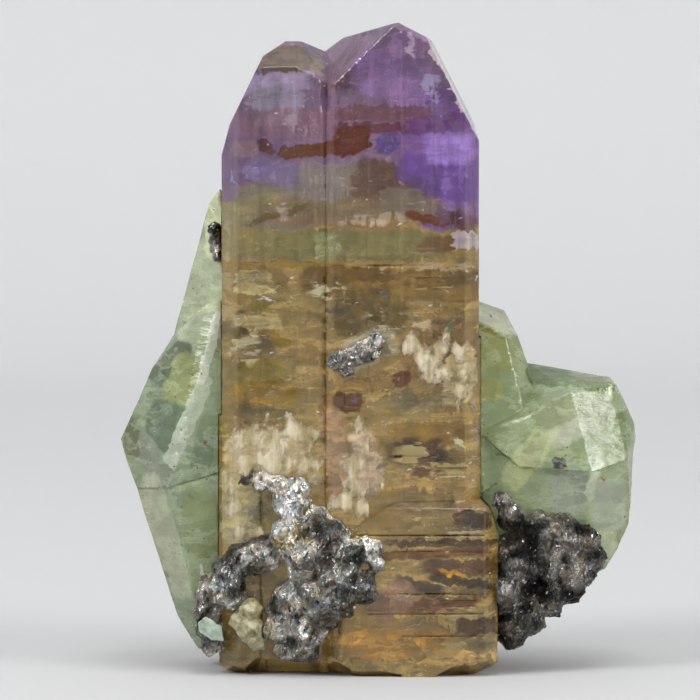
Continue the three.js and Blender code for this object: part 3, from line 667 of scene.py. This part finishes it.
broad = group_node(
    tree, mosaic_group, colour=colour, place=at, stretch=(0.75, 0.6, 1.7), grain=grain["Comb"],
    scale=0.9, strength=by_level(0.12, 0.52),
)
fine = group_node(
    tree, mosaic_group, colour=broad["Colour"], place=at, stretch=(0.8, 0.7, 1.5),
    grain=grain["Layer"], scale=3.0, strength=by_level(0.22, 0.38),
)
upright = group_node(
    tree, streak_group, colour=fine["Colour"], grain=grain["Comb"], strength=by_level(0.2, 0.14)
)
level = group_node(
    tree, streak_group, colour=upright["Colour"], grain=grain["Layer"], strength=by_level(0.08, 0.28)
)
strokes = {0: low, 2: grain["Comb"], 3: grain["Layer"]}
strokes = add(tree, "ShaderNodeMix", strokes, data_type="FLOAT").outputs[0]
broken = band_node(tree, math_node(tree, "MULTIPLY", strokes, grain["Run"]), 0.25, 0.29)
colour = paint(
    tree, level["Colour"], ragged, sparkling_zones, tanzanite_front, tanzanite_gain, broken, skin
)
# Dark and pale crack lines at two nearby levels of one noise, so that they run side by side: painted shadow
# and painted highlight along the edges of fractures inside
for shade, at_level, width, strength in (
    ("2c1c0c", 0.56, 0.012, by_level(0.1, 0.25)),
    ("efdfc0", 0.5, 0.014, by_level(0.1, 0.2)),
):
    colour = group_node(
        tree, crack_group, colour=colour, run=grain["Run"], crowd=grain["Crowd"],
        crack_colour=linear(shade), level=at_level, width=width, strength=strength,
    )["Colour"]
glints = group_node(
    tree, glint_group, colour=colour, cell=fine["Cell"], distance=fine["Distance"],
    crowd=grain["Crowd"], cover=by_level(0.1, 0.14), strength=0.9,
)
tree.links.new(glints["Colour"], shader.inputs["Base Color"])
worn = math_node(tree, "MULTIPLY_ADD", fine["Height"], 0.25, by_level(0.07, 0.19))
tree.links.new(math_node(tree, "MAXIMUM", worn, 0.05), shader.inputs["Roughness"])
steps = math_node(tree, "MULTIPLY", fine["Height"], 1.2)
height = math_node(tree, "MULTIPLY_ADD", upright["Height"], 0.35, steps)
make_bumpy(tree, shader, height, 0.5, 0.04)


def clear_inside(tree, shader, tint, density, bend, transmission):
    """The plain values of a clear crystal: how it bends, passes and absorbs light."""
    shader.inputs["IOR"].default_value = bend
    shader.inputs["Specular IOR Level"].default_value = 0.3
    shader.inputs["Transmission Weight"].default_value = transmission
    absorption = add(tree, "ShaderNodeVolumeAbsorption")
    absorption.inputs["Color"].default_value = linear(tint)
    absorption.inputs["Density"].default_value = density
    tree.links.new(absorption.outputs[0], tree.nodes["Material Output"].inputs["Volume"])


clear_inside(tree, shader, "f0e6d8", 60, 1.69, 0.6)

tanzanite = show("tanzanite_body", tanzanite_mesh, tanzanite_glass)
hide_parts("tanzanite")
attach(tanzanite, "root")

# Diopside
# Pale to olive green crystals with flat faces, grown against the back edges of the tanzanite:
# cloudy inside, with milky veils, dark grains and a few worn, frosted faces.

diopside_left_base = "93a17f"
diopside_left_zones = [
    ("upper blade", "bac3a2", (-6.9, 15.4), (0.9, 2.6), -14, 0.15, 1),
    ("blade tip", "d6deae", (-6.6, 18.0), (0.4, 1.5), 0, 0.2, 1),
    ("olive seam", "9bac7a", (-6.8, 13.3), (0.7, 0.2), 35, 0.2, 0.9),
    ("bright step", "c4cda7", (-6.5, 15.0), (0.35, 0.5), 0, 0.2, 0.9),
    ("dark rough edge", "5a6348", (-8.4, 12.3), (0.45, 1.1), -38, 0.2, 0.9),
    ("green face", "9ca266", (-7.9, 11.6), (0.6, 1.2), -20, 0.2, 0.9),
    ("dark green face", "6d7e63", (-8.6, 9.8), (0.8, 1.0), -10, 0.2, 1),
    ("pale strip", "bdc6b1", (-7.7, 9.9), (0.34, 2.2), -24, 0.06, 1),
    ("pale strip top", "e5e7d4", (-6.75, 13.0), (0.2, 1.5), -14, 0.1, 1),
    ("speckled face", "7d8d69", (-7.0, 9.1), (0.4, 1.3), -12, 0.15, 1),
    ("red fleck", "8c4107", (-6.93, 9.2), (0.09, 0.08), 0, 0.25, 1),
    ("blue fleck", "6e8794", (-7.15, 8.78), (0.08, 0.09), 0, 0.25, 1),
    ("grey face", "919883", (-9.0, 8.3), (0.5, 1.5), 35, 0.15, 1),
    ("olive rim", "757a4f", (-10.0, 9.3), (0.3, 0.9), 0, 0.2, 0.9),
    ("long pale face", "b7bb9c", (-8.5, 5.4), (0.5, 2.6), 16, 0.1, 1),
    ("olive rim low", "bbbb9b", (-9.25, 6.0), (0.25, 1.6), 16, 0.2, 0.9),
    ("mint edge", "a3b487", (-7.4, 7.6), (0.9, 0.1), 18, 0.2, 0.9),
    ("deep olive face", "8b9669", (-7.1, 5.9), (0.75, 1.5), 6, 0.1, 1),
    ("dark fleck", "6e7c59", (-7.5, 7.05), (0.14, 0.08), -20, 0.2, 1),
    ("misty foot", "98a578", (-6.9, 3.8), (0.5, 0.8), 0, 0.25, 0.9),
    ("mint wedge", "e7e7e7", (-7.0, 3.9), (0.07, 0.45), 12, 0.1, 1),
]
diopside_right_base = "98a47a"
diopside_right_zones = [
    ("top facet", "babb9d", (4.75, 14.05), (1.0, 0.34), -22, 0.1, 1),
    ("dark grain", "3e4438", (4.54, 14.2), (0.06, 0.05), 0, 0.2, 1),
    ("olive edge", "81772f", (4.6, 13.55), (0.8, 0.1), -25, 0.2, 1),
    ("green face", "9ca266", (4.7, 12.7), (0.8, 0.7), 0, 0.2, 1),
    ("yellow window", "a8ac6a", (4.5, 11.3), (0.42, 0.48), 0, 0.07, 1),
    ("deep green facet", "5a6f2f", (6.9, 11.85), (0.95, 0.42), -6, 0.1, 1),
    ("olive facet", "63722e", (8.7, 11.5), (0.9, 0.25), -8, 0.2, 0.9),
    ("pale face", "99a07b", (7.9, 10.2), (1.6, 0.8), 12, 0.25, 1),
    ("milky core", "c0c3a7", (7.5, 9.6), (0.8, 0.4), 22, 0.5, 1),
    # a painted highlight on the corner
    ("painted highlight on the corner", "d5dcb0", (9.35, 11.2), (0.08, 0.24), 0, 0.25, 1),
    ("green side", "798949", (9.9, 9.6), (0.5, 0.8), 0, 0.2, 0.9),
    ("yellow green slope", "bbc28d", (5.9, 8.5), (0.55, 1.3), -35, 0.2, 0.9),
    ("pale slope", "a5a982", (6.2, 8.9), (0.36, 0.7), -30, 0.2, 0.9),
    ("dark knot", "3e3c38", (7.2, 8.45), (0.28, 0.24), 0, 0.2, 1),
    ("blue grey hollow", "9aa18b", (7.6, 7.2), (0.7, 0.9), 0, 0.25, 1),
    ("pale streak", "c8d1b2", (8.6, 7.7), (0.22, 0.9), -14, 0.15, 0.9),
    ("rough low face", "acb39d", (9.3, 6.6), (0.7, 1.1), 0, 0.25, 0.9),
    ("red grain", "b4282a", (9.05, 7.75), (0.06, 0.05), 0, 0.2, 1),
    ("pale low face", "bfc6a2", (9.2, 4.9), (0.5, 0.7), 0, 0.2, 0.9),
]
diopside_gain = 1.25


def diopside_relief(at, facing):
    coarse = noise.fractal(at * 0.8, 0.8, 2.1, 2)
    chipped = max(0, noise.noise(at * 0.9 + Vector((0, 11, 0))))
    return 0.02 * coarse + 0.03 * facets(at, 1.6) * chipped


def diopside_glass(name, base, zones):
    made, tree, shader = new_material(name)
    at = specimen_place(tree)
    grain = group_node(tree, grain_group, place=at)
    reach = (0.6, 0.4, 0.5)
    ragged = group_node(
        tree, ragged_group, place=at, comb=grain["Comb"], layer=grain["Run"], reach=reach
    )[0]
    start = start_colour(tree, base, diopside_gain)
    colour = paint(tree, start, ragged, zones, 0, diopside_gain)
    fine = group_node(
        tree, mosaic_group, colour=colour, place=at, stretch=(1, 1, 0.9), grain=grain["Comb"],
        scale=1.1, strength=0.18,
    )
    misty = group_node(tree, streak_group, colour=fine["Colour"], grain=grain["Run"], strength=0.16)
    colour = misty["Colour"]
    for shade, at_level, width, strength in (("e2ecd2", 0.53, 0.06, 0.3), ("4a5a3a", 0.45, 0.01, 0.35)):
        colour = group_node(
            tree, crack_group, colour=colour, run=grain["Run"], crowd=grain["Crowd"],
            crack_colour=linear(shade), level=at_level, width=width, strength=strength,
        )["Colour"]
    grains = group_node(
        tree, speck_group, colour=colour, place=at, crowd=grain["Crowd"],
        speck_colour=linear("3c4034"), scale=3.1, size=0.1,
    )
    tree.links.new(grains["Colour"], shader.inputs["Base Color"])
    worn = math_node(tree, "MULTIPLY_ADD", misty["Height"], 0.05, 0.24)
    tree.links.new(worn, shader.inputs["Roughness"])
    height = math_node(tree, "ADD", fine["Height"], misty["Height"])
    make_bumpy(tree, shader, height, 0.35, 0.04)
    clear_inside(tree, shader, "e4f0dc", 90, 1.68, 0.5)
    return made


for side, base, zones in (
    ("left", diopside_left_base, diopside_left_zones),
    ("right", diopside_right_base, diopside_right_zones),
):
    node = "diopside_" + side
    shell = merged_copy(node)
    cut_into_cells(shell, 0.17, 0.2, 0.17)
    raise_faces(shell, diopside_relief)
    crystal = show(node + "_body", mesh_from(shell, node + "_body", 24), diopside_glass(node, base, zones))
    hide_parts(node)
    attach(crystal, "root")

# Graphite
# Dark metallic masses of packed flakes, broken with a hackly, glittering surface. They grew over
# the foot of both crystals.


def remeshed(shell, name, cell):
    """The shell made again as one even skin of small cells."""
    carrier = bpy.data.objects.new(name, mesh_from(shell, name))
    bpy.context.scene.collection.objects.link(carrier)
    modifier = carrier.modifiers.new("even", "REMESH")
    modifier.mode = "VOXEL"
    modifier.voxel_size = cell * mm
    evaluated = carrier.evaluated_get(bpy.context.evaluated_depsgraph_get())
    made = bmesh.new()
    made.from_mesh(evaluated.data)
    bpy.data.objects.remove(carrier)
    bmesh.ops.triangulate(made, faces=made.faces)
    return made


def new_geometry_tree(name, inputs):
    """An empty geometry node tree with named inputs, given as name to (kind of socket, value)."""
    made = bpy.data.node_groups.new(name, "GeometryNodeTree")
    made.interface.new_socket("Geometry", in_out="INPUT", socket_type="NodeSocketGeometry")
    for label, (kind, value) in inputs.items():
        socket = made.interface.new_socket(label, in_out="INPUT", socket_type="NodeSocket" + kind)
        socket.default_value = value
    made.interface.new_socket("Geometry", in_out="OUTPUT", socket_type="NodeSocketGeometry")
    return made, made.nodes.new("NodeGroupInput").outputs, made.nodes.new("NodeGroupOutput")


def mesh_from_tree(name, base, tree, material, **values):
    """The plain mesh that a geometry node tree makes on the base mesh, with its inputs set by name."""
    carrier = bpy.data.objects.new(name + "_carrier", base)
    bpy.context.scene.collection.objects.link(carrier)
    modifier = carrier.modifiers.new("made", "NODES")
    modifier.node_group = tree
    sockets = {item.name: item.identifier for item in tree.interface.items_tree if item.in_out == "INPUT"}
    for label, value in values.items():
        modifier[sockets[label.replace("_", " ").capitalize()]] = value
    modifier[sockets["Material"]] = material
    evaluated = carrier.evaluated_get(bpy.context.evaluated_depsgraph_get())
    mesh = bpy.data.meshes.new_from_object(evaluated)
    carrier.modifiers.remove(modifier)
    bpy.data.objects.remove(carrier)
    mesh.name = name
    return mesh


# Flakes: thin six-sided plates on the faces of the base mesh, near enough flat on them
flake_tree, given, result = new_geometry_tree(
    "flakes",
    {
        "Density": ("Float", 1.0),
        "Smallest": ("Float", 0.5),
        "Largest": ("Float", 1.0),
        "Plate": ("Float", 0.1),
        "Tilt": ("Float", 0.5),
        "Seed": ("Int", 1),
        "Material": ("Material", None),
    },
)
scatter = add(
    flake_tree,
    "GeometryNodeDistributePointsOnFaces",
    {"Mesh": given["Geometry"], "Density": given["Density"], "Seed": given["Seed"]},
)
thickness = math_node(flake_tree, "MULTIPLY", given["Plate"], 0.16)
values = {"Vertices": 6, "Radius": given["Plate"], "Depth": thickness}
plate = add(flake_tree, "GeometryNodeMeshCylinder", values)
lean_value = add(
    flake_tree, "FunctionNodeRandomValue", {"Seed": given["Seed"]}, data_type="FLOAT_VECTOR"
)
tilt_low = math_node(flake_tree, "MULTIPLY", given["Tilt"], -1.0)
for socket, end, turn in (("Min", tilt_low, -3.0), ("Max", given["Tilt"], 3.0)):
    corner = add(flake_tree, "ShaderNodeCombineXYZ", {"X": end, "Y": end, "Z": turn})
    flake_tree.links.new(corner.outputs[0], lean_value.inputs[socket])
turned = add(
    flake_tree,
    "FunctionNodeRotateRotation",
    {
        "Rotation": scatter.outputs["Rotation"],
        "Rotate By": add(
            flake_tree, "FunctionNodeEulerToRotation", {"Euler": lean_value.outputs["Value"]}
        ).outputs[0],
    },
    rotation_space="LOCAL",
)
size_value = add(flake_tree, "FunctionNodeRandomValue", data_type="FLOAT")
for socket, label in ((2, "Smallest"), (3, "Largest"), ("Seed", "Seed")):
    flake_tree.links.new(given[label], size_value.inputs[socket])
placed = add(
    flake_tree,
    "GeometryNodeInstanceOnPoints",
    {
        "Points": scatter.outputs["Points"],
        "Instance": plate.outputs["Mesh"],
        "Rotation": turned.outputs[0],
        "Scale": size_value.outputs[1],
    },
)
real = add(flake_tree, "GeometryNodeRealizeInstances", {"Geometry": placed.outputs[0]})
finished = add(
    flake_tree, "GeometryNodeSetMaterial", {"Geometry": real.outputs[0], "Material": given["Material"]}
)
flake_tree.links.new(finished.outputs[0], result.inputs[0])


def two_tone_material(name, low, high, scale, roughness, metallic=0.0, transmission=0.0):
    """A finish that wanders between two colours."""
    made, tree, shader = new_material(name)
    at = specimen_place(tree)
    veil = noise_node(tree, at, scale, 4, 0.65).outputs[0]
    veil = band_node(tree, veil, 0.35, 0.65)
    tree.links.new(mix_node(tree, veil, linear(low), linear(high)), shader.inputs["Base Color"])
    make_bumpy(tree, shader, veil, 0.3, 0.03)
    shader.inputs["Roughness"].default_value = roughness
    shader.inputs["Metallic"].default_value = metallic
    shader.inputs["Transmission Weight"].default_value = transmission
    shader.inputs["IOR"].default_value = 1.6
    return made


fold_seed = 4
noise.seed_set(fold_seed)  # noise_vector, which bends the folds, is random without it
fold_ways = [Vector(way).normalized() for way in ((3, 1, 1), (-1, 2, 2), (1, -1, 3), (2, 2, -3), (-3, 1, 2))]


def folds(at, scale, bend):
    """Height of a surface folded into flat facets with sharp ridges, from about -0.5 to 0.5."""
    bent = at * scale + noise.noise_vector(at * scale * 0.4) * bend
    turns = [bent.dot(way) + 0.37 * i for i, way in enumerate(fold_ways)]
    return sum(abs(turn - math.floor(turn) - 0.5) * 2 for turn in turns) / len(turns) - 0.5


def graphite_relief(at, facing):
    slabs = 0.2 * folds(at, 0.5, 1.2)
    blocks = 0.14 * folds(at + Vector((4, 0, 0)), 1.3, 1.4)
    chips = 0.1 * folds(at + Vector((9, 0, 0)), 3.4, 1.5)
    return slabs + blocks + chips


def graphite_metal(name, dark, light, patches=()):
    """Graphite: grey metal whose flakes are duller or brighter from place to place, with painted light and
    shade on its small facets and painted glints.
    """
    made, tree, shader = new_material(name)
    at = specimen_place(tree)
    grain = group_node(tree, grain_group, place=at)
    cloud = band_node(tree, grain["Crowd"], 0.36, 0.64)
    colour = mix_node(tree, cloud, linear(dark), linear(light))
    reach = (0.9, 0.4, 0.6)
    ragged = group_node(
        tree, ragged_group, place=at, comb=grain["Comb"], layer=grain["Run"], reach=reach
    )[0]
    colour = paint(tree, colour, ragged, patches, tanzanite_front)
    # the mosaics paint each small facet lighter or darker and the glints paint bright sparkles: painted
    # light and shade of a hackly, glittering surface
    broad = group_node(
        tree, mosaic_group, colour=colour, place=at, stretch=(1, 1, 1), grain=grain["Run"],
        scale=1.7, strength=0.5,
    )
    fine = group_node(
        tree, mosaic_group, colour=broad["Colour"], place=at, stretch=(1.2, 1, 0.8),
        grain=grain["Comb"], scale=5.0, strength=1.1,
    )
    glints = group_node(
        tree, glint_group, colour=fine["Colour"], cell=fine["Cell"], distance=fine["Distance"],
        crowd=grain["Run"], cover=0.4, strength=0.9,
    )
    tree.links.new(glints["Colour"], shader.inputs["Base Color"])
    dull = math_node(tree, "MULTIPLY_ADD", fine["Height"], -0.3, 0.32)
    tree.links.new(math_node(tree, "MAXIMUM", dull, 0.15), shader.inputs["Roughness"])
    height = math_node(tree, "MULTIPLY_ADD", broad["Height"], 3.0, fine["Height"])
    make_bumpy(tree, shader, height, 0.9, 0.2)
    shader.inputs["Metallic"].default_value = 0.85
    return made


graphite_patches = [
    # a painted highlight on a branch of the graphite
    ("painted highlight on the branch", "cfcac2", (-3.8, 7.4), (1.2, 0.9), 0, 0.25, 0.8),
    ("pale crumbs", "b3a98c", (-3.4, 5.5), (0.8, 0.4), 10, 0.2, 0.8),
    ("grey foil", "6d6a64", (-1.4, 3.4), (1.7, 1.3), 20, 0.2, 0.7),
    ("black green", "20302a", (-0.9, 4.9), (0.42, 0.36), 0, 0.2, 0.9),
    # painted shade in a hollow
    ("painted shade in a hollow", "1c1a18", (-5.2, 3.6), (0.2, 0.2), 0, 0.2, 0.9),
]
graphite_finish = graphite_metal("graphite", "5a5650", "d6d1c6", graphite_patches)
dark_graphite = graphite_metal("dark_graphite", "1a1817", "8f8981")
bright_graphite = graphite_metal("bright_graphite", "8f8b86", "e0dcd6")
flake_finish = two_tone_material("graphite_flakes", "6f6b66", "c2bdb7", 3.0, 0.26, 1.0)

graphite_pieces = [
    # node, cell size, finish, flakes to the square millimetre
    ("graphite_front", 0.08, graphite_finish, 4),
    ("graphite_right", 0.08, dark_graphite, 4),
    ("graphite_patch", 0.06, bright_graphite, 26),
    ("graphite_flake", 0.04, dark_graphite, 8),
]
for seed, (node, cell, finish, crowd) in enumerate(graphite_pieces):
    shell = remeshed(merged_copy(node), node, cell)
    all_ways = {"use_axis_x": True, "use_axis_y": True, "use_axis_z": True}
    bmesh.ops.smooth_vert(shell, verts=shell.verts, factor=0.5, **all_ways)
    raise_faces(shell, graphite_relief)
    mesh = mesh_from(shell, node + "_body")
    body = show(node + "_body", mesh, finish)
    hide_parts(node)
    flakes = mesh_from_tree(
        node + "_flakes", mesh, flake_tree, flake_finish, density=crowd * 1e6, smallest=0.4, largest=1.3,
        plate=0.065 * mm, tilt=0.9, seed=seed,
    )
    scales = show(node + "_flakes", flakes, flake_finish)
    for piece in (body, scales):
        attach(piece, "root")

# Crusts
# Thin cream films of etched, frosted crystal on the front faces, lacy at their edges.

crust_cell = 0.07
left_edge = -6.15  # outer edge of the narrow face beside the left front face
bevel_start = -5.54
bevel_slope = 1.08
crusts = {
    # patches as centre x and z and radius, on a front face
    "crust_left": (
        -3.22,
        [(-5.7, 9.2, 0.7), (-4.8, 9.4, 0.8), (-4.0, 9.2, 0.8), (-3.3, 9.6, 0.7), (-5.2, 8.4, 0.7),
         (-4.3, 8.5, 0.8), (-3.4, 8.5, 0.8), (-2.7, 8.4, 0.6), (-5.9, 7.6, 0.5), (-5.9, 6.6, 0.5),
         (-5.6, 5.8, 0.5), (-4.8, 5.7, 0.4), (-2.6, 9.7, 0.4)],
    ),
    "crust_middle": (
        -3.4,
        [(-1.4, 6.9, 0.5), (-0.9, 7.6, 0.6), (-0.9, 8.4, 0.6), (-0.4, 9.1, 0.55), (-0.7, 9.8, 0.45),
         (0.1, 8.2, 0.5), (-0.1, 7.4, 0.5), (-0.5, 6.7, 0.45)],
    ),
    "crust_right": (
        -3.4,
        [(1.4, 13.2, 0.5), (1.8, 12.6, 0.6), (2.5, 13.0, 0.6), (3.1, 12.9, 0.5), (3.2, 12.1, 0.5),
         (2.6, 12.0, 0.6), (2.0, 11.8, 0.4), (3.1, 11.4, 0.4)],
    ),
}


def crust_cover(x, z, patches, seed):
    """How well the crust covers a place on the face: nothing or less where it is bare."""
    near = max(1 - math.hypot(x - px, z - pz) / radius for px, pz, radius in patches)
    lace = noise.fractal(Vector((x * 1.6, seed, z * 1.1)), 0.6, 2.2, 5)
    past_edge = max(0, left_edge - x)
    return near + 0.75 * lace - 20 * past_edge


def crust_height(x, z, patches, seed):
    """Thickness of the crust at a place on the face, or nothing where it is bare."""
    amount = crust_cover(x, z, patches, seed)
    if amount < 0:
        return 0
    wisps = abs(noise.fractal(Vector((x * 3.4, seed + 5, z * 2.2)), 0.6, 2.2, 4))
    return 0.01 + 0.02 * min(1, amount) + 0.04 * wisps


def crust_mesh(name, front, patches, seed):
    """A closed plate on the face: its front is raised, its back lies just under the face."""
    left = min(x - r for x, _, r in patches) - 0.3
    right = max(x + r for x, _, r in patches) + 0.3
    low = min(z - r for _, z, r in patches) - 0.3
    high = max(z + r for _, z, r in patches) + 0.3
    columns = int((right - left) / crust_cell)
    rows = int((high - low) / crust_cell)
    shell = bmesh.new()
    cover_layer = shell.verts.layers.float.new("cover")
    corners = {}

    def corner(i, j, raised):
        if (i, j, raised) not in corners:
            x = left + i * crust_cell
            z = low + j * crust_cell
            face = front + bevel_slope * max(0, bevel_start - x)
            y = face - max(0.02, crust_height(x, z, patches, seed)) if raised else face + 0.06
            corners[i, j, raised] = shell.verts.new(place(x, y, z))
            corners[i, j, raised][cover_layer] = crust_cover(x, z, patches, seed)
        return corners[i, j, raised]

    def is_there(i, j):
        middle = (left + (i + 0.5) * crust_cell, low + (j + 0.5) * crust_cell)
        return crust_height(*middle, patches, seed) > 0

    there = {(i, j) for i in range(columns) for j in range(rows) if is_there(i, j)}
    for i, j in there:
        square = [(i, j), (i + 1, j), (i + 1, j + 1), (i, j + 1)]
        shell.faces.new([corner(*spot, True) for spot in square])
        shell.faces.new([corner(*spot, False) for spot in reversed(square)])
        sides = ((0, -1), (1, 0), (0, 1), (-1, 0))
        for (di, dj), start, end in zip(sides, square, square[1:] + square[:1]):
            if (i + di, j + dj) not in there:
                rim = [corner(*start, False), corner(*end, False), corner(*end, True), corner(*start, True)]
                shell.faces.new(rim)
    return mesh_from(shell, name, 60)


def crust_finish():
    made, tree, shader = new_material("cream_crust")
    at = specimen_place(tree)
    grain = group_node(tree, grain_group, place=at)
    cloud = band_node(tree, grain["Comb"], 0.3, 0.7)
    colour = mix_node(tree, cloud, linear("a8966c"), linear("e6d9b8"))
    patched = group_node(
        tree, mosaic_group, colour=colour, place=at, stretch=(1.4, 1, 0.8), grain=grain["Comb"],
        scale=2.2, strength=0.2,
    )
    veined = group_node(
        tree, crack_group, colour=patched["Colour"], run=grain["Run"], crowd=grain["Comb"],
        crack_colour=linear("ddd5c4"), level=0.5, width=0.03, strength=0.8,
    )
    tree.links.new(veined["Colour"], shader.inputs["Base Color"])
    height = math_node(tree, "ADD", cloud, patched["Height"])
    make_bumpy(tree, shader, height, 0.5, 0.03)
    tree.links.new(band_node(tree, cloud, 0.3, 0.7, 0.7, 0.4), shader.inputs["Roughness"])
    cover = add(tree, "ShaderNodeAttribute", attribute_name="cover").outputs["Fac"]
    frayed = math_node(tree, "MULTIPLY_ADD", grain["Run"], 1.2, math_node(tree, "SUBTRACT", cover, 0.6))
    tree.links.new(band_node(tree, frayed, -0.05, 0.85, 0.0, 0.85), shader.inputs["Alpha"])
    return made


cream = crust_finish()
for seed, (node, (front, patches)) in enumerate(crusts.items()):
    film = show(node + "_film", crust_mesh(node + "_film", front, patches, seed), cream)
    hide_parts(node)
    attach(film, "root")

# Chip and crumb
# A pale mint splinter of diopside and a cream and olive crumb, both caught in the front graphite.


def crumb_relief(at, facing):
    return 0.05 * facets(at, 3.0) + 0.03 * noise.fractal(at * 3, 0.7, 2.1, 3)


chip_finish = two_tone_material("mint_chip", "a9bca6", "d3e2d0", 2.5, 0.3, 0.0, 0.3)
crumb_finish = two_tone_material("cream_crumb", "8e8450", "cfc7a8", 2.6, 0.45, 0.0, 0.2)
for node, finish, slot in (
    ("diopside_chip", chip_finish, "diopside_mint"),
    ("crumb", crumb_finish, "crumb"),
):
    shell = remeshed(merged_copy(node), node, 0.05)
    raise_faces(shell, crumb_relief)
    grain = show(node + "_body", mesh_from(shell, node + "_body", 30), finish)
    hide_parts(node)
    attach(grain, "root")
